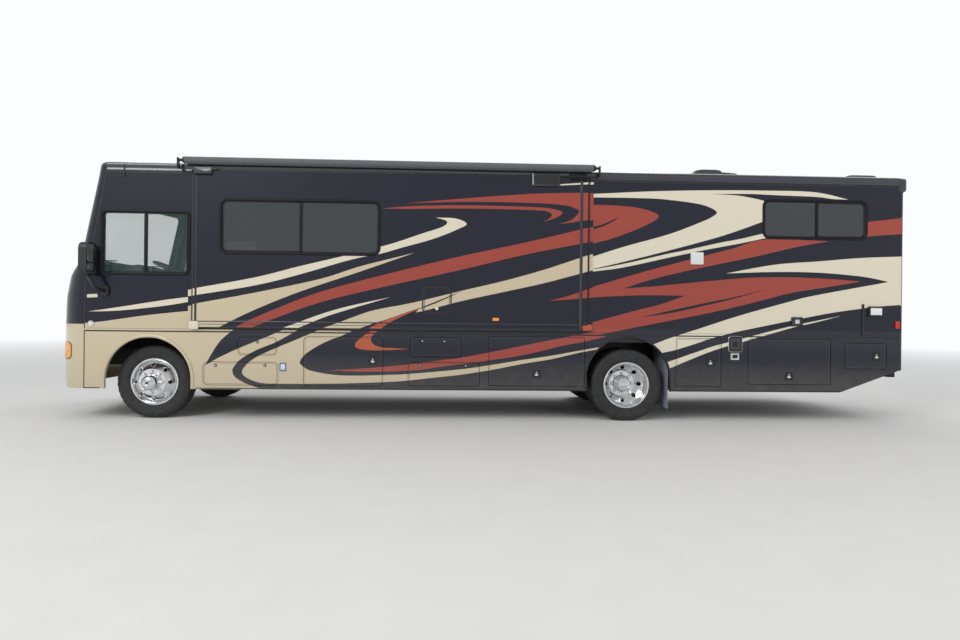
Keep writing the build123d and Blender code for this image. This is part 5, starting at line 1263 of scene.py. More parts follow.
def windows():
    """Every side window, the slide-out's and the entry door's."""
    fixed = Piece()
    for side in (-1, 1):
        sash = (DRIVER_MULLION, CAB_WINDOW[1] - SASH_END)
        window(fixed, CAB_WINDOW, side, SIDE, CLEAR, DRIVER_MULLION, sash, WINDOW_ROUND)
        sash = (REAR_MULLION, REAR_WINDOW[1] - SASH_END)
        window(fixed, REAR_WINDOW, side, SIDE, TINT, REAR_MULLION, sash)
    for row in MIDDLE_WINDOWS:
        middle = (row[0] + row[1]) / 2
        window(fixed, row, 1, SIDE, TINT, middle, (middle, row[1] - SASH_END))
    fixed.done("side_window_units", "root", "window_glass", ["side_windows"])
    room = Piece()
    sash = (SLIDE_WINDOW[0] + SASH_END, SLIDE_MULLION)
    window(room, SLIDE_WINDOW, -1, SLIDE_FACE, TINT, SLIDE_MULLION, sash)
    room.done("slide_window_unit", "slide_out", "window_glass", ["slide_window"])
    entry = Piece()
    window(entry, ENTRY_WINDOW, 1, SIDE, TINT)
    entry.done("entry_window_unit", "entry", "window_glass", ["entry_window"])


# Wheels. Profiles are rows of (radius, offset outward): from the tyre's middle, and for nuts and hole
# edges from their own seat.
FRONT_WHEEL_Y = 1.033
REAR_WHEEL_Y = 1.123
TWIN_SPACING = 0.304
NUTS = 8
NUT_CIRCLE = 0.1375
HOLE_CIRCLE = 0.222
FRONT_NUT_OUT = 0.151
REAR_NUT_OUT = -0.141
HOLE_OUT = 0.127
TYRE_STEPS = 180
NOTCH_EVERY = 5
# Notches in the tread's shoulders: their depth, and where they begin across the tread and in radius.
NOTCH = 0.008
NOTCH_ACROSS = 0.082
NOTCH_RADIUS = 0.445
TYRE_HALF = [
    (0.290, 0.072), (0.297, 0.082), (0.304, 0.092), (0.312, 0.094), (0.316, 0.098), (0.330, 0.106),
    (0.336, 0.109), (0.338, 0.107), (0.360, 0.1145), (0.385, 0.1175), (0.404, 0.1165), (0.406, 0.118),
    (0.412, 0.1175), (0.414, 0.115), (0.432, 0.1115), (0.446, 0.1075), (0.461, 0.099), (0.469, 0.0915),
    (0.4725, 0.083), (0.473, 0.062), (0.461, 0.060), (0.461, 0.053), (0.473, 0.051), (0.473, 0.027),
    (0.461, 0.025), (0.461, 0.018), (0.473, 0.016),
]
RIM_EDGE = [(0.304, 0.077), (0.306, 0.084), (0.304, 0.090), (0.297, 0.092), (0.288, 0.090), (0.281, 0.083),
            (0.276, 0.070), (0.276, 0.060), (0.290, 0.060)]
DISC_EDGE = [(0.2775, 0.020), (0.268, 0.022), (0.262, 0.014), (0.266, 0.002), (0.2775, 0.000)]
FRONT_HUB = [(0.112, 0.150), (0.112, 0.158), (0.108, 0.163), (0.105, 0.166), (0.103, 0.185), (0.101, 0.205),
             (0.095, 0.231), (0.083, 0.253), (0.064, 0.269), (0.044, 0.277), (0.037, 0.2785), (0.035, 0.283),
             (0.028, 0.285), (0.022, 0.282), (0.0, 0.282), (0.0, 0.150)]
HUB_BADGE = [(0.0, 0.2822), (0.019, 0.2822), (0.017, 0.285), (0.0, 0.286)]
REAR_HUB = [(0.116, -0.130), (0.114, -0.110), (0.107, -0.100), (0.098, -0.060), (0.091, -0.030),
            (0.084, -0.010), (0.078, 0.000), (0.070, 0.003), (0.066, -0.001), (0.052, 0.000), (0.048, 0.008),
            (0.040, 0.012), (0.0, 0.013), (0.0, -0.130)]
HOLE_EDGE = [(0.0265, -0.004), (0.031, -0.001), (0.0315, 0.002), (0.029, 0.003), (0.0265, 0.001)]
WASHER = [(0.0, 0.0), (0.0235, 0.0), (0.0235, 0.004), (0.021, 0.007), (0.0, 0.007)]
NUT = [(0.0, 0.006), (0.0195, 0.006), (0.0195, 0.027), (0.016, 0.033), (0.009, 0.037), (0.0, 0.038)]


def tyre(piece, station, y, hand):
    """A tyre with ribbed sidewalls, grooved tread and notched shoulders."""
    profile = TYRE_HALF + [(r, -o) for r, o in reversed(TYRE_HALF)]
    loops = []
    for k, (c, s) in enumerate(circle(1.0, TYRE_STEPS)):
        loop = []
        for r, o in profile:
            if k % NOTCH_EVERY == 0 and abs(o) > NOTCH_ACROSS and r > NOTCH_RADIUS:
                r -= NOTCH
            loop.append((station - STATION_SHIFT + r * c, y + hand * o, HUB_HEIGHT + r * s))
        loops.append(loop)
    loft(piece, loops, TYRE, closed=True)


def wheel_trim(name, body, hub, out, turned, nut_out, holed):
    """Polished rim edge, hub cover and nuts of a wheel; turned are (profile, material, steps, closed)."""
    piece = Piece()
    for profile, material, steps, closed in [(RIM_EDGE, CHROME, 96, True)] + turned:
        lathe(piece, profile, hub, out, material, steps, closed)
    for k in range(NUTS):
        turn = 2 * math.pi * k / NUTS + math.pi / 2
        spoke = Vector((math.cos(turn), 0.0, math.sin(turn)))
        for profile, steps in ((WASHER, 20), (NUT, 6)):
            lathe(piece, profile, hub + spoke * NUT_CIRCLE + out * nut_out, out, CHROME, steps)
        if holed:
            tilt = (out * 0.97 + spoke * 0.25).normalized()
            lathe(piece, HOLE_EDGE, hub + spoke * HOLE_CIRCLE + out * HOLE_OUT, tilt, CHROME, 24, True)
    piece.done(name, body, "wheel_steel")


def wheels():
    """Tyres, polished rim edges, nuts and hub covers of all wheels."""
    front = [(FRONT_HUB, CHROME, 64, False), (HUB_BADGE, GLOSS_BLACK, 40, False)]
    rear = [(DISC_EDGE, CHROME, 96, True), (REAR_HUB, CHROME, 64, False)]
    for hand, tag in ((-1, "left"), (1, "right")):
        piece = Piece()
        tyre(piece, FRONT_AXLE, hand * FRONT_WHEEL_Y, hand)
        piece.done("front_tyre_tread_" + tag, "front_wheel_" + tag, "tyre", ["front_tyre_" + tag], 40.0)
        piece = Piece()
        for y in (REAR_WHEEL_Y, REAR_WHEEL_Y - TWIN_SPACING):
            tyre(piece, REAR_AXLE, hand * y, hand)
        piece.done("rear_tyre_treads_" + tag, "rear_wheel_" + tag, "tyre", ["rear_tyres_" + tag], 40.0)
        out = Vector((0.0, hand, 0.0))
        hub = Vector((FRONT_AXLE - STATION_SHIFT, hand * FRONT_WHEEL_Y, HUB_HEIGHT))
        wheel_trim("front_wheel_trim_" + tag, "front_wheel_" + tag, hub, out, front, FRONT_NUT_OUT, True)
        hub = Vector((REAR_AXLE - STATION_SHIFT, hand * REAR_WHEEL_Y, HUB_HEIGHT))
        wheel_trim("rear_wheel_trim_" + tag, "rear_wheel_" + tag, hub, out, rear, REAR_NUT_OUT, False)


# Door hardware: door, then x and z of each latch's or lock's middle.
LATCHES = [
    ("locker_door_left_2", -1.475, 0.777),
    ("locker_door_left_4", 0.651, 0.620),
    ("locker_door_left_5", 2.958, 0.786),
    ("locker_door_left_6", 4.020, 0.613),
    ("locker_door_left_7", 5.214, 0.884),
]
LOCKS = [
    ("utility_hatch_left", -2.945, 1.006),
    ("locker_door_left_1", -3.473, 0.703),
    ("locker_door_left_1", -2.848, 0.708),
    ("service_hatch_left", -0.838, 1.038),
    ("service_hatch_left", -0.552, 1.035),
    ("locker_door_left_3", -0.860, 0.713),
    ("locker_door_left_3", -0.273, 0.718),
]
MIRRORED_DOORS = {"locker_door_left_2": "locker_door_right_1", "locker_door_left_4": "locker_door_right_2",
                  "locker_door_left_6": "locker_door_right_3"}
BEAD_INSET = 0.013
LATCH_HALF = 0.054
# The entry door's handle, set in from the door's edge, and the grip past it: low and high z of each.
HANDLE_IN = 0.075
HANDLE_PLATE = (1.360, 1.520)
HANDLE_PADDLE = (1.395, 1.470)
ENTRY_LOCK_Z = 1.570
GRIP_PAST = 0.150
GRIP_ENDS = (1.200, 1.800)
GRIP_OUT = 0.060


def latch(piece, x, z, side):
    """A square black paddle latch with a chrome handle and lock."""
    place = on_wall(side, SIDE + PAINT_PROUD)
    rim = about(x, z, LATCH_HALF, LATCH_HALF, 0.014)
    ring(piece, rim, 0.016, 0.007, place, TRIM, 0.003)
    pad(piece, shrunk(rim, 0.012, 0.006), [(0.0, 0.0), (0.0, 0.0015)], place, TRIM)
    plate(piece, about(x, z - 0.011, 0.022, 0.015, 0.006), 0.007, place, CHROME)
    lathe(piece, [(0.0, 0.0), (0.009, 0.0), (0.009, 0.005), (0.006, 0.006), (0.0, 0.006)],
          place(x, z + 0.020, 0.001), (0, side, 0), CHROME, 20)


def lock(piece, x, z, side):
    """A round black lock with a chrome barrel."""
    middle = on_wall(side, SIDE + PAINT_PROUD)(x, z, 0.0)
    rim = [(0.0, -0.001), (0.019, -0.001), (0.019, 0.003), (0.016, 0.005), (0.009, 0.005), (0.0, 0.004)]
    barrel = [(0.0, 0.004), (0.008, 0.004), (0.008, 0.007), (0.0, 0.007)]
    lathe(piece, rim, middle, (0, side, 0), TRIM, 24)
    lathe(piece, barrel, middle, (0, side, 0), CHROME, 20)


def door_hardware():
    """Latches, locks and a rolled bead round every locker door, the bead coloured as a painted shadow line.
    """
    pieces = {}
    for name in DOOR_ROUNDS:
        low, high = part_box(name)
        pieces[name] = Piece()
        row = shrunk((low.x, high.x, low.z, high.z, DOOR_ROUNDS[name] - DOOR_GAP), BEAD_INSET)
        pad(pieces[name], row, [(0.0, 0.0), (0.001, 0.0012), (0.0022, 0.0012), (0.0032, 0.0)],
            on_wall(-1 if "left" in name else 1, SIDE + PAINT_PROUD), SHADOW_BEAD, closed=True)
    for maker, rows in ((latch, LATCHES), (lock, LOCKS)):
        for name, x, z in rows:
            maker(pieces[name], x, z, -1)
            if name in MIRRORED_DOORS:
                maker(pieces[MIRRORED_DOORS[name]], x, z, 1)
    for name, piece in pieces.items():
        piece.done("hardware_" + name, name + "_body", "black_trim")


def entry_hardware():
    """The entry door's handle and lock, and the grip beside the door."""
    piece = Piece()
    place = on_wall(1, SIDE + PAINT_PROUD)
    x = ENTRY_HIGH.x - HANDLE_IN
    plate(piece, (x - 0.040, x + 0.040, *HANDLE_PLATE, 0.016), 0.008, place, TRIM)
    plate(piece, (x - 0.026, x + 0.026, *HANDLE_PADDLE, 0.010), 0.022, place, CHROME, 0.006)
    lock(piece, x, ENTRY_LOCK_Z, 1)
    piece.done("entry_handle", "entry", "black_trim")
    piece = Piece()
    x = ENTRY_HIGH.x + GRIP_PAST
    low, high = GRIP_ENDS
    foot, turn, out = SIDE - 0.002, SIDE + GRIP_OUT - 0.012, SIDE + GRIP_OUT
    tube(piece, [(x, foot, low), (x, turn, low), (x, out, low + 0.015),
                 (x, out, high - 0.015), (x, turn, high), (x, foot, high)], 0.014, ALUMINIUM, 14)
    base = [(0.0, 0.0), (0.030, 0.0), (0.030, 0.004), (0.0, 0.006)]
    for z in GRIP_ENDS:
        lathe(piece, base, (x, SIDE, z), (0, 1, 0), TRIM, 24)
    piece.done("entry_grip", "root", "black_trim")


# Fittings from the photograph: left, right, upper and lower pixel, corner radius, then how far they
# stand out, their material and their bevel. Rings have their width before how far they stand out.
WALL_RINGS = [
    (728.4, 742.1, 336.0, 352.2, 0.034, 0.006, 0.006, CHROME, 0.002),
    (728.8, 741.7, 336.4, 351.8, 0.030, 0.020, 0.010, TRIM, 0.004),
    (279.7, 286.2, 362.7, 371.1, 0.010, 0.014, 0.008, BLUE_PLASTIC, 0.002),
    (791.2, 802.3, 317.2, 326.2, 0.010, 0.012, 0.016, TRIM, 0.002),
]
WALL_PLATES = [
    (732.6, 737.9, 341.5, 347.0, 0.010, 0.006, TRIM, 0.003),
    (730.5, 738.8, 353.2, 360.0, 0.008, 0.009, CHROME, 0.003),
    (732.0, 737.3, 354.6, 358.4, 0.005, 0.011, TRIM, 0.003),
    (280.7, 285.2, 364.0, 369.8, 0.006, 0.007, WHITE_PLASTIC, 0.003),
    (791.8, 801.7, 317.8, 325.6, 0.008, 0.010, GLOSS_BLACK, 0.003),
    (794.6, 799.0, 319.6, 323.6, 0.006, 0.017, CHROME, 0.003),
    (861.7, 863.7, 304.2, 336.6, 0.004, 0.010, TRIM, 0.003),
    (867.5, 882.2, 306.5, 316.8, 0.012, 0.028, TRIM, 0.010),
    (869.3, 880.4, 308.1, 315.2, 0.008, 0.033, CLEAR_LENS, 0.004),
    (895.0, 899.0, 321.3, 328.8, 0.008, 0.014, RED_LENS, 0.004),
]
SLIDE_RINGS = [
    (422.2, 451.6, 286.4, 314.4, 0.082, 0.017, 0.0035, SEAL, 0.0015),
    (424.4, 449.4, 288.6, 312.2, 0.060, 0.006, 0.0025, SEAL, 0.001),
]
SLIDE_PLATES = [
    (189.0, 198.5, 321.0, 329.3, 0.022, 0.014, PAINT["white"], 0.006),
    (582.3, 592.0, 324.5, 331.0, 0.022, 0.014, PAINT["copper"], 0.006),
    (582.0, 587.6, 321.4, 326.0, 0.010, 0.016, TRIM, 0.006),
    (570.6, 586.6, 173.4, 180.6, 0.006, 0.024, FRAME, 0.004),
    (194.4, 212.4, 167.6, 174.0, 0.006, 0.024, RAIL, 0.004),
    (194.4, 212.4, 173.8, 174.8, 0.006, 0.024, SEAL, 0.004),
    (211.0, 217.0, 168.4, 170.2, 0.006, 0.024, TRIM, 0.004),
    (491.7, 499.7, 317.3, 321.5, 0.008, 0.008, TRIM, 0.003),
    (492.5, 498.9, 317.9, 320.9, 0.006, 0.017, AMBER, 0.004),
]
CAP_MOULDINGS = [
    (104.5, 125.4, 175.4, 176.4, 0.002, 0.005, SEAL, 0.001),
    (124.2, 125.4, 164.0, 176.4, 0.002, 0.0135, SEAL, 0.001),
]
# Pixels and corner radius of the power inlet's pane and of two vents, and the middles of a lamp
# and of the round hatch's lock.
INLET_PANE = (730.4, 740.1, 338.4, 349.8, 0.018)
WALL_VENT = (690.6, 703.2, 252.3, 264.7, 0.012)
RANGE_VENT = (532.2, 559.8, 173.2, 186.9, 0.010)
NOSE_SIDE_LAMP = (91.0, 323.6)
HATCH_LOCK = (436.8, 308.6)

SEAM_LOW = 0.405
SEAM_TOP = 3.205
REAR_SEAM_IN = 0.034
REAR_SEAM_LOW = 0.705
REAR_SEAM_TOP = 3.160
AXLE_CLEAR = 0.60
# Lower edge of the black strip under the belt rail.
BELT_STRIP_LOW = 1.125
# low and high z of the kerb side's panel joints
KERB_JOINT = (1.168, 3.140)
# x, x, y of the middle, half width, z, z and bevel of the block at each rear top corner
REAR_CAP = (5.487, 5.612, 1.252, 0.052, 3.085, 3.272, 0.040)
# half length, y of the middle, half thickness, z and z of each rear wheel house's inboard plate
WHEEL_HOUSE = (0.56, 0.625, 0.008, 0.66, 1.12)


def fitted(piece, place, face, plates, rings=()):
    """Sets tables of plates and rings on the driver's side."""
    for *row, width, out, material, bevel in rings:
        ring(piece, pixel_row(*row, face), width, out, place, material, bevel)
    for *row, out, material, bevel in plates:
        plate(piece, pixel_row(*row, face), out, place, material, bevel)


def side_seams():
    """Seams, joints and beads of both sides, and what closes the rear wheel houses inboard."""
    piece = Piece()
    strip = [(-0.001, -0.006), (-0.001, 0.006), (0.0016, 0.005), (0.0016, -0.005)]
    bottom = SKIRT_LOW + 0.010
    front_x, rear_x = FRONT_AXLE - STATION_SHIFT, REAR_AXLE - STATION_SHIFT
    length, inboard, half, low, high = WHEEL_HOUSE
    beads = ((SEAM_X + 0.01, front_x - AXLE_CLEAR), (front_x + AXLE_CLEAR, rear_x - AXLE_CLEAR),
             (rear_x + AXLE_CLEAR, TAIL_BEND))
    # Black strips along the belt rail: a wider one below it and a thin one along its top.
    belt_strips = ((BELT_STRIP_LOW, BELT_RAIL[0] + 0.001, 0.002),
             (BELT_RAIL[1] - 0.001, BELT_RAIL[1] + 0.003, 0.001))
    for side in (-1, 1):
        seam = [(seam_x(z), side * SIDE, z) for z in (SEAM_LOW, SEAM_BEND, SEAM_TOP)]
        sweep(piece, seam, strip, SEAL, up=Vector((1.0, 0.0, 0.0)))
        wall = on_wall(side)
        turn = REAR_STRAIGHT + REAR_SEAM_IN
        x, y, _, _ = rear_spot(turn if side < 0 else REAR_RUN - turn)
        sweep(piece, [(x, y, REAR_SEAM_LOW), (x, y, REAR_SEAM_TOP)], circle(0.006, 12), TRIM)
        fitted(piece, wall, SIDE, CAP_MOULDINGS)
        for z0, z1, radius in belt_strips:
            plate(piece, (SEAM_X + 0.01, WALL_REAR, z0, z1, radius), 0.004, wall, SEAL, 0.001)
        beam(piece, *REAR_CAP[:2], side * REAR_CAP[2], *REAR_CAP[3:], RAIL, 5)
        for start, end in beads:
            sweep(piece, [(start, side * SIDE, bottom), (end, side * SIDE, bottom)], circle(0.006, 8), TRIM)
        beam(piece, rear_x - length, rear_x + length, side * inboard, half, low, high, 0.004, TRIM, 2)
    for x in (SLIDE_LEAD_X, SLIDE_TRAIL_X):
        plate(piece, (x - 0.009, x + 0.009, *KERB_JOINT, 0.002), 0.0045, on_wall(1), SEAL, 0.002)
    piece.done("side_seams", "root", "black_trim")


def arch_lips():
    """A rounded moulding round each wheel arch."""
    piece = Piece()
    for side in (-1, 1):
        for station, radius, top, width, material in ARCHES:
            profile = [(-0.002, -0.028), (-0.002, 0.0095), (0.004, 0.0135), (width * 0.5, 0.0150),
                       (width - 0.003, 0.0120), (width + 0.001, 0.0085), (width + 0.001, -0.001),
                       (width, -0.028)]
            runs = [[(x, side * (SIDE + out), z)
                     for x, z in arch_path(station, radius + grow, top - radius, SKIRT_LOW, 48)]
                    for grow, out in profile]
            loft(piece, list(zip(*runs)), material)
    piece.done("arch_mouldings", "root", "body_paint")


def wall_fittings():
    """Vents, inlets, lamps and small lids on the driver's side."""
    piece = Piece()
    wall = on_wall(-1, SIDE + PAINT_PROUD)
    fitted(piece, wall, SIDE, WALL_PLATES, WALL_RINGS)
    pad(piece, pixel_row(*INLET_PANE), [(0.0, 0.0), (0.0, 0.002)], wall, GLOSS_BLACK)
    vent = pixel_row(*WALL_VENT)
    plate(piece, vent, 0.016, wall, WHITE_PLASTIC, 0.006)
    louvres(piece, vent, (0.24, 0.41, 0.58, 0.75), (0.020, 0.020), 0.007, 0.020, wall, WHITE_PLASTIC, 0.002)
    lamp = wall(*on_side(*NOSE_SIDE_LAMP), 0.0)
    rim = [(0.0, 0.0), (0.040, 0.0), (0.040, 0.006), (0.033, 0.011), (0.024, 0.011), (0.0, 0.011)]
    dome = [(0.0, 0.010), (0.023, 0.010), (0.018, 0.017), (0.0, 0.020)]
    lathe(piece, rim, lamp, (0, -1, 0), CHROME, 32)
    lathe(piece, dome, lamp, (0, -1, 0), CLEAR_LENS, 28)
    piece.done("wall_fittings", "root", "black_trim")


def slide_trim():
    """The slide-out's edge trim with a black strip along its lower edge as painted shadow, corner brackets,
    vents, hatch rings and marker light, and its seal.
    """
    low, high = SLIDE_LOW, SLIDE_HIGH
    room = on_wall(-1, SLIDE_FACE + PAINT_PROUD)
    piece = Piece()
    # upright strips, then level ones: their edges, how far they stand out and their material
    for x0, x1, out, material in ((low.x + 0.022, low.x + 0.048, 0.004, SEAL),
                                  (high.x - 0.104, high.x - 0.074, 0.006, RAIL),
                                  (high.x - 0.073, high.x - 0.066, 0.003, SEAL)):
        plate(piece, (x0, x1, low.z + 0.02, high.z - 0.02, 0.003), out, room, material)
    # The first level strip is painted shadow: black rubber where the shade under the room's lower edge falls.
    for z0, z1, out, material in ((low.z, low.z + 0.018, 0.004, SEAL),
                                  (low.z + 0.050, low.z + 0.056, 0.003, TRIM),
                                  (low.z + 0.084, low.z + 0.098, 0.005, RAIL),
                                  (high.z - 0.016, high.z, 0.004, TRIM)):
        plate(piece, (low.x, high.x, z0, z1, 0.002), out, room, material)
    fitted(piece, room, SLIDE_FACE, SLIDE_PLATES, SLIDE_RINGS)
    vent = pixel_row(*RANGE_VENT, SLIDE_FACE)
    x0, _, z0, z1, _ = vent
    plate(piece, vent, 0.022, room, GLOSS_BLACK, 0.008)
    louvres(piece, vent, (0.22, 0.40, 0.58, 0.76), (0.030, 0.020), 0.010, 0.028, room, TRIM, 0.004)
    plate(piece, (x0 + 0.004, x0 + 0.016, z0 + 0.010, z1 - 0.010, 0.004), 0.026, room, ALUMINIUM, 0.002)
    lathe(piece, [(0.0, -0.001), (0.021, -0.001), (0.021, 0.004), (0.016, 0.008), (0.0, 0.009)],
          room(*on_side(*HATCH_LOCK, SLIDE_FACE), 0.0), (0, -1, 0), WHITE_PLASTIC, 24)
    piece.done("slide_trim", "slide_out", "black_trim")

    piece = Piece()
    s0, s1, z0, z1 = SLIDE_HOLE
    seal = 0.022
    row = (s0 - STATION_SHIFT - seal, s1 - STATION_SHIFT + seal, z0 - 0.005, z1 + 0.003, 0.004)
    ring(piece, row, seal, 0.006, on_wall(-1, SIDE + PAINT_PROUD), SEAL)
    piece.done("slide_seal", "root", "black_trim")


# Mirror glass: x of its back; distances from the middle, heights and corner radius of both panes.
MIRROR_BACK_X = 0.765 - STATION_SHIFT
MIRROR_PANES = [(1.356, 1.532, 1.985, 2.215, 0.055), (1.356, 1.532, 1.842, 1.972, 0.050)]
# Wipers: where each begins and ends across the screen, the arm's height, rise and share of that way,
# and the blade's height and rise.
WIPER_ENDS = ((-0.86, -0.06), (0.06, 0.86))
WIPER_LOW = 1.985
WIPER_RISE = 0.120
WIPER_REACH = 0.62
BLADE_LOW = 2.080
BLADE_RISE = 0.060


def mirrors_and_wipers():
    """Mirror glass in both housings and the two windscreen wipers."""
    piece = Piece()
    for side in (-1, 1):
        for row in MIRROR_PANES:
            pad(piece, row, [(0.0, -0.010), (0.0, -0.004), (0.003, -0.003)],
                lambda u, v, out: (MIRROR_BACK_X + out, side * u, v), MIRROR)
    piece.done("mirror_glass", "root", "black_trim")

    piece = Piece()
    for start, end in WIPER_ENDS:
        lathe(piece, [(0.0, -0.030), (0.020, -0.030), (0.020, 0.006), (0.012, 0.012), (0.0, 0.013)],
              on_nose(start, WIPER_LOW, 0.012), (-1.0, 0.0, 0.35), TRIM, 20)
        shares = [k / 8 for k in range(9)]
        arm = [on_nose(start + (end + 0.02 - start) * WIPER_REACH * t, WIPER_LOW + WIPER_RISE * t,
                       0.022 + 0.010 * math.sin(math.pi * t)) for t in shares]
        sweep(piece, arm, [(-0.009, -0.004), (0.009, -0.004), (0.006, 0.004), (-0.006, 0.004)], TRIM)
        shares = [k / 16 for k in range(17)]
        blade = [on_nose(start + 0.10 + (end - start - 0.04) * t, BLADE_LOW + BLADE_RISE * t, 0.008)
                 for t in shares]
        sweep(piece, blade, [(-0.004, -0.010), (0.004, -0.010), (0.009, 0.006), (-0.009, 0.006)], SEAL)
    piece.done("wipers", "root", "black_trim")


# Cab. Cushions: name, x, distance from the seat's middle, z, size, roundness and whether it leans.
SEATS = ((-0.650, "driver"), (0.650, "passenger"))
SEAT_RAKE = Matrix.Rotation(math.radians(6.0), 3, "Y")
CUSHIONS = [
    ("cushion", -4.010, 0.0, 1.590, (0.440, 0.430, 0.140), 0.45, False),
    ("bolster", -4.010, 0.215, 1.605, (0.430, 0.085, 0.150), 0.5, False),
    ("back", -3.855, 0.0, 1.890, (0.120, 0.400, 0.560), 0.45, True),
    ("back_side", -3.875, 0.200, 1.870, (0.135, 0.090, 0.520), 0.5, True),
    ("headrest", -3.835, 0.0, 2.225, (0.100, 0.270, 0.150), 0.5, True),
    ("arm", -4.000, 0.285, 1.800, (0.300, 0.055, 0.060), 0.5, False),
]
# Seat supports: front and rear x, distance from the middle, half width, low and high z, bevel, material.
SUPPORTS = [
    (-4.060, -3.790, 0.0, 0.160, 1.120, 1.180, 0.012, CHASSIS),
    (-4.020, -3.830, 0.0, 0.110, 1.175, 1.480, 0.030, TRIM),
    (-4.180, -3.830, 0.0, 0.215, 1.475, 1.530, 0.015, TRIM),
    (-3.900, -3.860, 0.285, 0.018, 1.520, 1.790, 0.008, TRIM),
    (-3.900, -3.860, 0.25, 0.05, 1.515, 1.545, 0.006, TRIM),
]
# distance from the middle of the dials, radius
DIALS = [(-0.105, 0.062), (0.105, 0.062), (0.0, 0.034), (-0.215, 0.034), (0.215, 0.034)]
DIALS_AT = Vector((-4.545, -0.650, 1.925))
DIALS_FACING = Vector((0.94, 0.0, 0.34)).normalized()


def hands(away):
    """Tags and offsets of one part in the middle, or of a pair."""
    return [("_left", -away), ("_right", away)] if away else [("", 0.0)]


def pillow(piece, centre, size, power, turn, material):
    """A soft rounded block: a superellipsoid."""
    rows, columns = 18, 28

    def lift(value):
        return math.copysign(abs(value) ** power, value)

    verts = []
    for i in range(1, rows):
        latitude = -math.pi / 2 + math.pi * i / rows
        level, height = lift(math.cos(latitude)), lift(math.sin(latitude))
        verts += [(level * lift(c), level * lift(s), height) for c, s in circle(1.0, columns)]
    bottom = len(verts)
    verts += [(0, 0, -1), (0, 0, 1)]
    faces = []
    for k, m in pairs(range(columns)):
        for i in range(0, bottom - columns, columns):
            faces.append([i + k, i + m, i + columns + m, i + columns + k])
        faces.append([bottom, m, k])
        faces.append([bottom + 1, bottom - columns + k, bottom - columns + m])
    shape = turn @ Matrix.Diagonal(Vector(size) / 2)
    piece.add([shape @ Vector(v) + Vector(centre) for v in verts], faces, material)


def cab():
    """Two padded cab seats on their pedestals and the instruments on the dashboard."""
    base = Piece()
    for y, tag in SEATS:
        for name, x, away, z, size, power, leans in CUSHIONS:
            for hand, offset in hands(away):
                piece = Piece()
                turn = SEAT_RAKE if leans else Matrix.Identity(3)
                pillow(piece, (x, y + offset, z), size, power, turn, LEATHER)
                label = "seat_%s_%s%s" % (tag, name, hand)
                made = piece.done(label, "root", "seat_leather", ["cab_seats"], 80.0)
        for x0, x1, away, half, z0, z1, bevel, material in SUPPORTS:
            for _, offset in hands(away):
                beam(base, x0, x1, y + offset, half, z0, z1, bevel, material)
        for _, offset in hands(0.07):
            tube(base, [(-3.845, y + offset, 2.140), (-3.838, y + offset, 2.200)], 0.006, CHROME, 10)
    base.done("seat_pedestals", "root", "seat_leather", ["cab_seats"])

    piece = Piece()
    for away, radius in DIALS:
        spot = DIALS_AT + Vector((0.0, away, 0.0)) + DIALS_FACING * 0.004
        rim = [(0.0, 0.0), (radius, 0.0), (radius, 0.006), (radius - 0.006, 0.006), (radius - 0.008, 0.002),
               (0.0, 0.002)]
        face = [(0.0, 0.0022), (radius - 0.009, 0.0022), (0.0, 0.0035)]
        lathe(piece, rim, spot, DIALS_FACING, CHROME, 32)
        lathe(piece, face, spot, DIALS_FACING, GLOSS_BLACK, 32)
    piece.done("instruments", "root", "dash_plastic")


# Roof
ROOF_RISES = [
    # distance in from the edge, rise above the wall top
    (0.000, 0.000), (0.003, 0.016), (0.010, 0.029), (0.022, 0.041), (0.040, 0.051), (0.070, 0.060),
    (0.650, 0.110),
]
ROOF_EDGE = 0.0015
ROOF_SHEET = 0.012
LINING_IN = 0.048
LINING_DROP = 0.006
# Rows of (out from the side, z): the rail's full section, and the part above the slide-out.
ROOF_RAIL = [(-0.001, 3.172), (0.009, 3.172), (0.011, 3.177), (0.007, 3.184), (0.006, 3.226), (0.011, 3.234),
             (0.011, 3.254), (0.006, 3.266), (-0.004, 3.272), (-0.020, 3.272)]
NARROW_RAIL = [(-0.001, ROOF_RAIL_LOW), (0.006, ROOF_RAIL_LOW)] + ROOF_RAIL[4:]
# Low and high z of the black strip below the rail.
ROOF_STRIP = (3.138, 3.173)
RAIL_SEAM_Z = 3.22
RAIL_CLEAR = 0.024


def roof_inset(x, y):
    """Distance of a place on the roof from the edge of the roof's plan."""
    front, start, corner, width, bow, _, _ = nose_plan(WALL_TOP)
    station = x + STATION_SHIFT
    side = SIDE - abs(y)
    ahead = bow - math.hypot(station - front - bow, y) if station < front + bow else bow
    if station < start and abs(y) > width:
        return min(ahead, corner - math.hypot(station - start, abs(y) - width))
    rear = REAR_FACE - x
    if max(rear, side) < REAR_ROUND:
        return REAR_ROUND - math.hypot(REAR_ROUND - rear, REAR_ROUND - side)
    return min(side, rear, ahead)


def roof_rise(x, y):
    """Height of the roof skin at a place."""
    inset = max(0.0, roof_inset(x, y))
    for (in0, rise0), (in1, rise1) in zip(ROOF_RISES, ROOF_RISES[1:]):
        if inset <= in1:
            return WALL_TOP + rise0 + (rise1 - rise0) * (inset - in0) / (in1 - in0)
    return WALL_TOP + ROOF_RISES[-1][1]


def roof_outline(inset):
    """The roof's plan, drawn in by a distance: the bowed nose, straight sides and round rear corners."""
    loop = []
    for k in range(-40, 41):
        x, y, nx, ny = nose_spot(k / 20.0, WALL_TOP)
        loop.append((x - nx * inset, y - ny * inset))
    reach = REAR_ROUND - inset if inset < REAR_ROUND - 0.004 else 0.004
    x, y = REAR_FACE - inset - reach, SIDE - inset - reach
    turns = [math.pi / 16 * k for k in range(9)]
    corner = [(reach * math.sin(turn), reach * math.cos(turn)) for turn in turns]
    loop += [(x + back, y + out) for back, out in corner]
    loop += [(x + back, -y - out) for back, out in reversed(corner)]
    return finely(loop, 0.25)


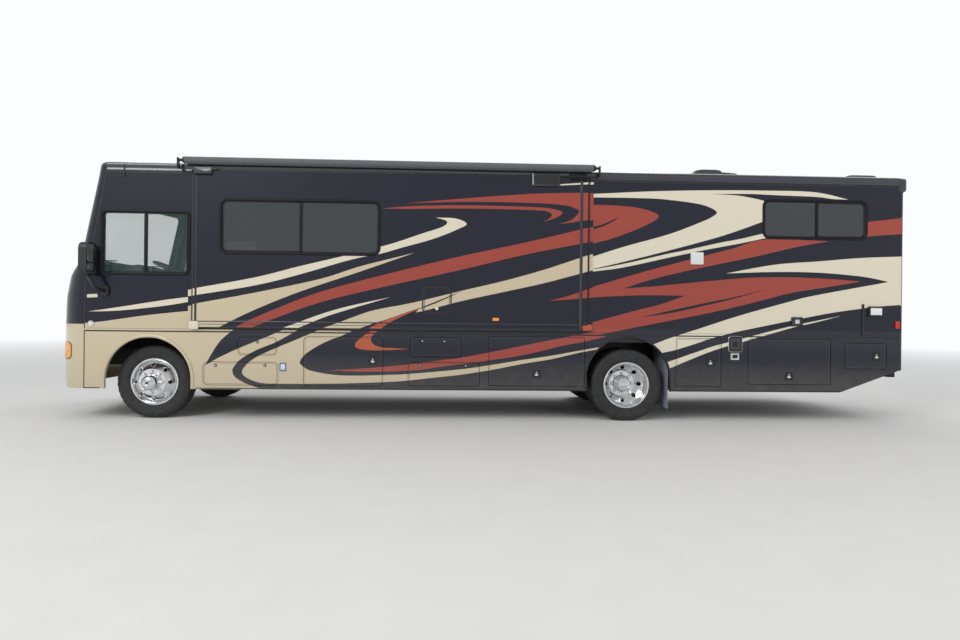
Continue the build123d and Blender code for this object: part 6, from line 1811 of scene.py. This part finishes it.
def roof_shell():
    """Roof skin that follows the nose, with the cabin's ceiling below it."""
    outlines = [roof_outline(inset) for inset in [ROOF_EDGE] + [row[0] for row in ROOF_RISES[1:-1]]]
    first, length, rows, across = -4.95, 10.3, 44, 0.28
    grid = [(first + length * i / rows, across * k) for i in range(rows + 1) for k in range(-4, 5)]
    grid = [p for p in grid if roof_inset(*p) > 0.10]
    # The camber ends along two lines, which have points of their own.
    first, length, rows = -4.4, 9.3, 30
    level = SIDE - ROOF_RISES[-1][0]
    grid += [(first + length * k / rows, y) for y in (-level, level) for k in range(rows + 1)]
    piece = Piece()
    slab(piece, outlines, lambda centre: ROOF if inside(centre, outlines[0]) else None,
         lambda x, y, d: (x, y, roof_rise(x, y) - d), ROOF_SHEET, grid)
    piece.done("roof_shell", "root", "roof_skin", ["roof"], angle=50.0)

    lining = roof_outline(LINING_IN)
    piece = Piece()
    slab(piece, [lining], lambda centre: LINER if inside(centre, lining) else None,
         lambda x, y, d: (x, y, WALL_TOP - LINING_DROP + d), 0.004, [(-4.5 + k, 0.0) for k in range(10)])
    piece.done("cabin_ceiling", "root", "room_shell")


def roof_rails():
    """The rail along each roof edge with a black strip below it; the rail is narrower above the slide-out."""
    piece = Piece()
    start, end = seam_x(RAIL_SEAM_Z), REAR_FACE - REAR_ROUND
    lead = SLIDE_HOLE[0] - STATION_SHIFT - RAIL_CLEAR
    trail = SLIDE_HOLE[1] - STATION_SHIFT + RAIL_CLEAR
    for side, x0, x1, section in ((-1, start, lead, ROOF_RAIL), (-1, lead, trail, NARROW_RAIL),
                                  (-1, trail, end, ROOF_RAIL), (1, start, end, ROOF_RAIL)):
        loft(piece, [[(x, side * (SIDE + out), z) for out, z in section] for x in (x0, x1)], RAIL)
        if section is ROOF_RAIL:
            plate(piece, (x0, x1, *ROOF_STRIP, 0.002), 0.005, on_wall(side), SEAL, 0.002)
    piece.done("roof_rails", "root", "black_trim", angle=40.0)


# Roof units. Rows of the air conditioner: front and rear x, width, corner radius, and its heights at
# the front and the rear above its base. Vents: station, and y of the middle.
UNIT_BASE = WALL_TOP + 0.104
UNIT_ROWS = [(3.085, 3.835, 0.700, 0.060, 0.0, 0.0), (3.088, 3.832, 0.690, 0.070, 0.060, 0.060),
             (3.096, 3.828, 0.670, 0.080, 0.150, 0.140), (3.120, 3.820, 0.650, 0.090, 0.215, 0.185),
             (3.150, 3.810, 0.610, 0.100, 0.246, 0.207)]
UNIT_TOP_ROWS = [(3.150, 3.600, 0.610, 0.100, 0.236, 0.212), (3.156, 3.560, 0.600, 0.100, 0.256, 0.256),
                 (3.175, 3.535, 0.560, 0.100, 0.266, 0.266), (3.200, 3.500, 0.500, 0.080, 0.268, 0.268)]
# Slats on the air conditioner's sides: x of the first, spacing, length, and y of their middle.
SLATS = 9
SLAT_START = 3.30
SLAT_STEP = 0.045
SLAT_LENGTH = 0.026
SLAT_SIDE = 0.341
VENTS = [(10.915, -0.800), (7.900, 0.0), (4.200, 0.200)]
VENT_FOOT = WALL_TOP + 0.070
VENT_RIM = WALL_TOP + 0.126
VENT_HALF = 0.19
# half length, width, corner radius and height above the rim
VENT_LID = [(0.200, 0.40, 0.040, -0.004), (0.200, 0.40, 0.040, 0.006), (0.186, 0.37, 0.055, 0.020),
            (0.140, 0.28, 0.060, 0.027)]


def housing(piece, rows, middle, base, material):
    """A closed housing on the roof: rows of x0, x1, width, corner radius and heights at x0 and x1."""
    loft(piece, [[(x, middle + y, base + z0 + (z1 - z0) * (x - x0) / (x1 - x0))
                  for x, y in rounded(x0, x1, -width / 2, width / 2, corner)]
                 for x0, x1, width, corner, z0, z1 in rows], material)


def roof_units():
    """An air conditioner that falls away to the rear, and vents with dark lids on white curbs."""
    piece = Piece()
    for rows in (UNIT_ROWS, UNIT_TOP_ROWS):
        housing(piece, rows, 0.0, UNIT_BASE, UNIT)
    for k in range(SLATS):
        x = SLAT_START + SLAT_STEP * k
        for y in (-SLAT_SIDE, SLAT_SIDE):
            beam(piece, x, x + SLAT_LENGTH, y, 0.006, UNIT_BASE + 0.035, UNIT_BASE + 0.125, 0.002, TRIM, 2)
    for station, y in VENTS:
        x = station - STATION_SHIFT
        curb = [(x - VENT_HALF, x + VENT_HALF, 2 * VENT_HALF, 0.03, z, z) for z in (VENT_FOOT, VENT_RIM)]
        housing(piece, curb, y, 0.0, WHITE_PLASTIC)
        lid = [(x - half, x + half, width, corner, z, z) for half, width, corner, z in VENT_LID]
        housing(piece, lid, y, VENT_RIM, UNIT)
    piece.done("roof_unit_housings", "root", "unit_plastic", ["roof_units"], angle=35.0)


# The slide-out's topper and the patio awning.
TOPPER_IN = 0.042
TOPPER_ROLL = 0.0435
TOPPER_WRAP = math.pi * 1.9
TOPPER_FIX_Z = 3.262
FABRIC_THICK = 0.0009
FABRIC_COLUMNS = 60
FLAT_ROWS = 14
WRAP_ROWS = 30
AWNING_ROLL = 0.0565
AWNING_SEAM = 0.0580
AWNING_END = 0.16


def topper_fabric(low, high, axis_y, axis_z):
    """The topper's fabric, from the wall to its roller and most of the way round it."""
    start_y = -SIDE - 0.004
    x0, x1 = low.x + 0.10, high.x - 0.10
    run_y = axis_y - start_y
    run_z = axis_z + TOPPER_ROLL - TOPPER_FIX_Z
    # y, z and the outward direction of each row of the fabric
    rows = [(start_y + run_y * k / FLAT_ROWS, TOPPER_FIX_Z + run_z * k / FLAT_ROWS, 0.0, 1.0)
            for k in range(FLAT_ROWS + 1)]
    for k in range(1, WRAP_ROWS + 1):
        turn = TOPPER_WRAP * k / WRAP_ROWS
        out_y, out_z = -math.sin(turn), math.cos(turn)
        rows.append((axis_y + TOPPER_ROLL * out_y, axis_z + TOPPER_ROLL * out_z, out_y, out_z))
    xs = [x0 + (x1 - x0) * k / FABRIC_COLUMNS for k in range(FABRIC_COLUMNS + 1)]
    verts = [(x, y + out_y * layer, z + out_z * layer)
             for layer in (0.0, FABRIC_THICK) for y, z, out_y, out_z in rows for x in xs]
    width = len(xs)
    size = len(rows) * width
    corners = [i * width + k for i in range(len(rows) - 1) for k in range(FABRIC_COLUMNS)]
    under = [[a, a + 1, a + width + 1, a + width] for a in corners]
    over = [[size + a for a in reversed(face)] for face in under]
    rim = (list(range(width)) + list(range(2 * width - 1, size, width))
           + list(range(size - 2, size - width - 1, -1)) + list(range(size - 2 * width, 0, -width)))
    edge = [[a, b, size + b, size + a] for a, b in pairs(rim)]
    piece = Piece()
    piece.add(verts, under + over + edge, CLOTH)
    fabric = piece.done("topper_fabric", None, "awning_cloth", angle=60.0)
    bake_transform(fabric)


def topper_frame(low, high, axis_y, axis_z):
    """The topper's roller with its end plates, arms and bars."""
    piece = Piece()
    # distance in from the ends, radius, material and steps of the roller and of its shaft
    for inset, radius, material, steps in ((0.095, 0.0420, CLOTH, 32), (0.008, 0.016, TRIM, 16)):
        ends = [(x, axis_y, axis_z) for x in (low.x + inset, high.x - inset)]
        tube(piece, ends, radius, material, steps)
    for end, hand in ((low.x, 1), (high.x, -1)):
        lathe(piece, [(0.0, 0.002), (0.045, 0.002), (0.045, -0.008), (0.030, -0.030), (0.018, -0.042),
                      (0.0, -0.042)], (end + hand * 0.096, axis_y, axis_z), (hand, 0, 0), TRIM, 32)
        x = end + hand * 0.012
        beam(piece, x - 0.010, x + 0.010, axis_y + 0.003, 0.033, axis_z - 0.104, axis_z + 0.030, 0.009, TRIM)
        x0, x1 = sorted((x, end + hand * 0.500))
        beam(piece, x0, x1, axis_y + 0.028, 0.012, axis_z - 0.108, axis_z - 0.094, 0.004, TRIM, 2)
    piece.done("topper_frame", "slide_out", "black_trim", ["slide_topper"])


def awnings():
    """The slide-out's topper and the fabric rolled up in the patio awning."""
    low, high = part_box("slide_topper")
    topper_fabric(low, high, low.y + TOPPER_IN, high.z - TOPPER_IN)
    topper_frame(low, high, low.y + TOPPER_IN, high.z - TOPPER_IN)
    low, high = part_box("patio_awning")
    length = high.x - low.x
    inner = AWNING_ROLL - 0.0065
    roll = [(AWNING_ROLL, AWNING_END), (AWNING_SEAM, AWNING_END + 0.02), (AWNING_ROLL, length / 2),
            (AWNING_SEAM, length - AWNING_END - 0.02), (AWNING_ROLL, length - AWNING_END),
            (inner, length - AWNING_END), (inner, AWNING_END)]
    piece = Piece()
    lathe(piece, roll, (low.x, high.y - 0.055, high.z - 0.055), (1, 0, 0), CLOTH, 40, True)
    piece.done("awning_roll", "root", "awning_cloth", angle=50.0)


# Lamps
# Distances from the middle: where the turn lens begins and ends, the two bulbs and the markers.
LAMP_SPLIT = 1.085
LAMP_WRAP = 1.238
BULBS = (0.765, 0.955)
BULB_RADIUS = 0.082
MARKERS = (-1.06, -0.22, 0.0, 0.22, 1.06)
MARKER_HALF = 0.042
# low and high z of the marker lamps
FRONT_MARKER = (3.160, 3.198)
REAR_MARKER = (3.135, 3.170)
TAIL_GLASS = [(1.012, 1.165, CLEAR_LENS), (1.170, 1.325, AMBER), (1.330, 1.488, RED_LENS)]


def head_lamp(piece, hand):
    """A dark housing with two reflectors, a clear pane and a turn lens that wraps round the corner."""
    def place(u, v, out):
        x, y, z = on_nose(u, v, out)
        return (x, hand * y, z)

    y0, _, z0, z1, radius = HEAD_LAMP
    middle = (z0 + z1) / 2
    pad(piece, HEAD_LAMP, [(0.004, -0.060), (0.004, -0.046), (0.020, -0.044)], place, GLOSS_BLACK, along=16)
    pad(piece, (y0, LAMP_SPLIT, z0, z1, 0.034), [(0.004, -0.010), (0.004, -0.002), (0.008, 0.0015)], place,
        LAMP_GLASS, along=16)
    plate(piece, (LAMP_SPLIT, LAMP_WRAP, z0 + 0.010, z1 - 0.010, 0.034), 0.007, place, AMBER, 0.005, 0.006, 8)
    for y in BULBS:
        spot = Vector(place(y, middle, -0.046))
        out = (Vector(place(y, middle, 0.0)) - spot).normalized()
        bowl = [(BULB_RADIUS, 0.030), (BULB_RADIUS - 0.002, 0.033), (BULB_RADIUS - 0.006, 0.028),
                (BULB_RADIUS * 0.75, 0.010), (BULB_RADIUS * 0.35, 0.002), (0.0, 0.001)]
        lathe(piece, bowl, spot, out, CHROME, 40)
        lathe(piece, [(0.0, 0.002), (0.024, 0.002), (0.022, 0.018), (0.0, 0.024)], spot, out, CLEAR_LENS, 24)
    ring(piece, shrunk((y0, LAMP_WRAP - 0.004, z0, z1, radius), -0.010), 0.014, 0.003, place, GLOSS_BLACK,
         along=24)


def tail_lamp(piece, hand):
    """Three lenses, one above another, in a black housing on the rear wall."""
    def place(u, v, out):
        return on_rear(hand * u, v, out)

    plate(piece, TAIL_LAMP, 0.012, place, TRIM, 0.004)
    y0, y1 = TAIL_LAMP[0] + 0.012, TAIL_LAMP[1] - 0.012
    for low, high, material in TAIL_GLASS:
        plate(piece, (y0, y1, low, high, 0.022), 0.0275, place, material, 0.008)


def marker(piece, row, place, base_out, out, material, bevel):
    """A small lens on a black base."""
    plate(piece, row, base_out, place, TRIM, 0.004)
    plate(piece, shrunk(row, 0.004, 0.011), out, place, material, bevel)


def lamps():
    """Head lamps, tail lamps, marker lamps and the number plate."""
    piece = Piece()
    for hand in (-1, 1):
        head_lamp(piece, hand)
        tail_lamp(piece, hand)
    for y in MARKERS:
        y0, y1 = y - MARKER_HALF, y + MARKER_HALF
        marker(piece, (y0, y1, *FRONT_MARKER, 0.014), on_nose, 0.012, 0.026, AMBER, 0.010)
        marker(piece, (y0, y1, *REAR_MARKER, 0.014), on_rear, 0.010, 0.022, RED_LENS, 0.008)
    number_plate = (-0.160, 0.160, 0.860, 1.020, 0.012)
    plate(piece, number_plate, 0.006, on_rear, TRIM)
    plate(piece, shrunk(number_plate, 0.010, 0.008), 0.008, on_rear, WHITE_PLASTIC, 0.001)
    piece.done("lamp_units", "root", "lamp_lens", ["lamps"])


# Camera and studio
SKY = (0.97, 0.985, 1.0)
SKY_LIGHT = 0.60
FLOOR_REACH = 90.0
FADE_START = 9.0
FADE_END = 34.0
AIM = Vector((0.0, 0.0, 1.4))
LIGHTS = [
    # name, place, size, watts
    ("key", (-9.0, -11.0, 9.5), 7.0, 900.0),
    ("fill", (9.0, -9.0, 6.0), 8.0, 320.0),
    ("rim", (3.0, 10.0, 9.0), 8.0, 520.0),
]


def stand(name, data):
    """A new object in the scene."""
    made = bpy.data.objects.new(name, data)
    bpy.context.scene.collection.objects.link(made)
    return made


def camera():
    data = bpy.data.cameras.new("camera")
    data.sensor_width = SENSOR
    data.lens = SENSOR * FOCAL_PIXELS / IMAGE_WIDTH
    data.clip_end = 400.0
    made = stand("camera", data)
    turn = Matrix((CAMERA_RIGHT, -CAMERA_BELOW, -CAMERA_AHEAD)).transposed()
    made.matrix_world = Matrix.Translation(CAMERA_AT) @ turn.to_4x4()
    bpy.context.scene.camera = made


def backdrop():
    """A white world, less bright in what it lights than in what the camera sees."""
    world = bpy.data.worlds.new("world")
    bpy.context.scene.world = world
    world.use_nodes = True
    tree = world.node_tree
    path = tree.nodes.new("ShaderNodeLightPath")
    seen = tree.nodes.new("ShaderNodeMath")
    seen.operation = "MAXIMUM"
    for ray, socket in zip(("Is Camera Ray", "Is Transmission Ray"), seen.inputs):
        tree.links.new(path.outputs[ray], socket)
    level = tree.nodes.new("ShaderNodeMapRange")
    level.inputs["To Min"].default_value = SKY_LIGHT
    level.inputs["To Max"].default_value = 1.0
    tree.links.new(seen.outputs[0], level.inputs["Value"])
    back = tree.nodes["Background"]
    back.inputs["Color"].default_value = (*SKY, 1.0)
    tree.links.new(level.outputs["Result"], back.inputs["Strength"])


def floor():
    """A pale floor that fades to the white background."""
    mesh = bpy.data.meshes.new("floor_ground")
    corners = oblong(-FLOOR_REACH, FLOOR_REACH, -FLOOR_REACH, FLOOR_REACH)
    mesh.from_pydata([(x, y, 0) for x, y in corners], [], [(0, 1, 2, 3)])
    n = Nodes("floor_ground", 0.85)
    n.set(Specular_IOR_Level=0.2, Emission_Color=SKY)
    n.colour(n.mix(n.noise(3.0, 5.0), (0.74, 0.735, 0.72), (0.80, 0.795, 0.785)))
    away = n.add("ShaderNodeVectorMath", [(0, n.place)], operation="LENGTH").outputs["Value"]
    glow = n.add("ShaderNodeEmission", [("Color", SKY)]).outputs["Emission"]
    blend = n.add("ShaderNodeMixShader", [("Fac", n.span(away, FADE_START, FADE_END)),
                                          (1, n.shader.outputs["BSDF"]), (2, glow)])
    n.feed(blend.outputs["Shader"], n.tree.nodes["Material Output"].inputs["Surface"])
    mesh.materials.append(n.material)
    stand("floor_ground", mesh)


def studio():
    """The background, the floor and three soft lamps."""
    bpy.context.scene.view_settings.view_transform = "Standard"
    backdrop()
    floor()
    for name, place, size, watts in LIGHTS:
        data = bpy.data.lights.new(name, "AREA")
        data.size = size
        data.energy = watts
        lamp = stand(name, data)
        lamp.visible_glossy = name != "fill"
        lamp.location = place
        lamp.rotation_mode = "QUATERNION"
        lamp.rotation_quaternion = (AIM - Vector(place)).to_track_quat("-Z", "Y")


camera()
studio()
finish_cad_nodes()
paint_sides()
nose()
nose_openings()
rear_skin()
windows()
wheels()
side_seams()
arch_lips()
wall_fittings()
slide_trim()
door_hardware()
entry_hardware()
mirrors_and_wipers()
cab()
roof_shell()
roof_rails()
roof_units()
awnings()
lamps()
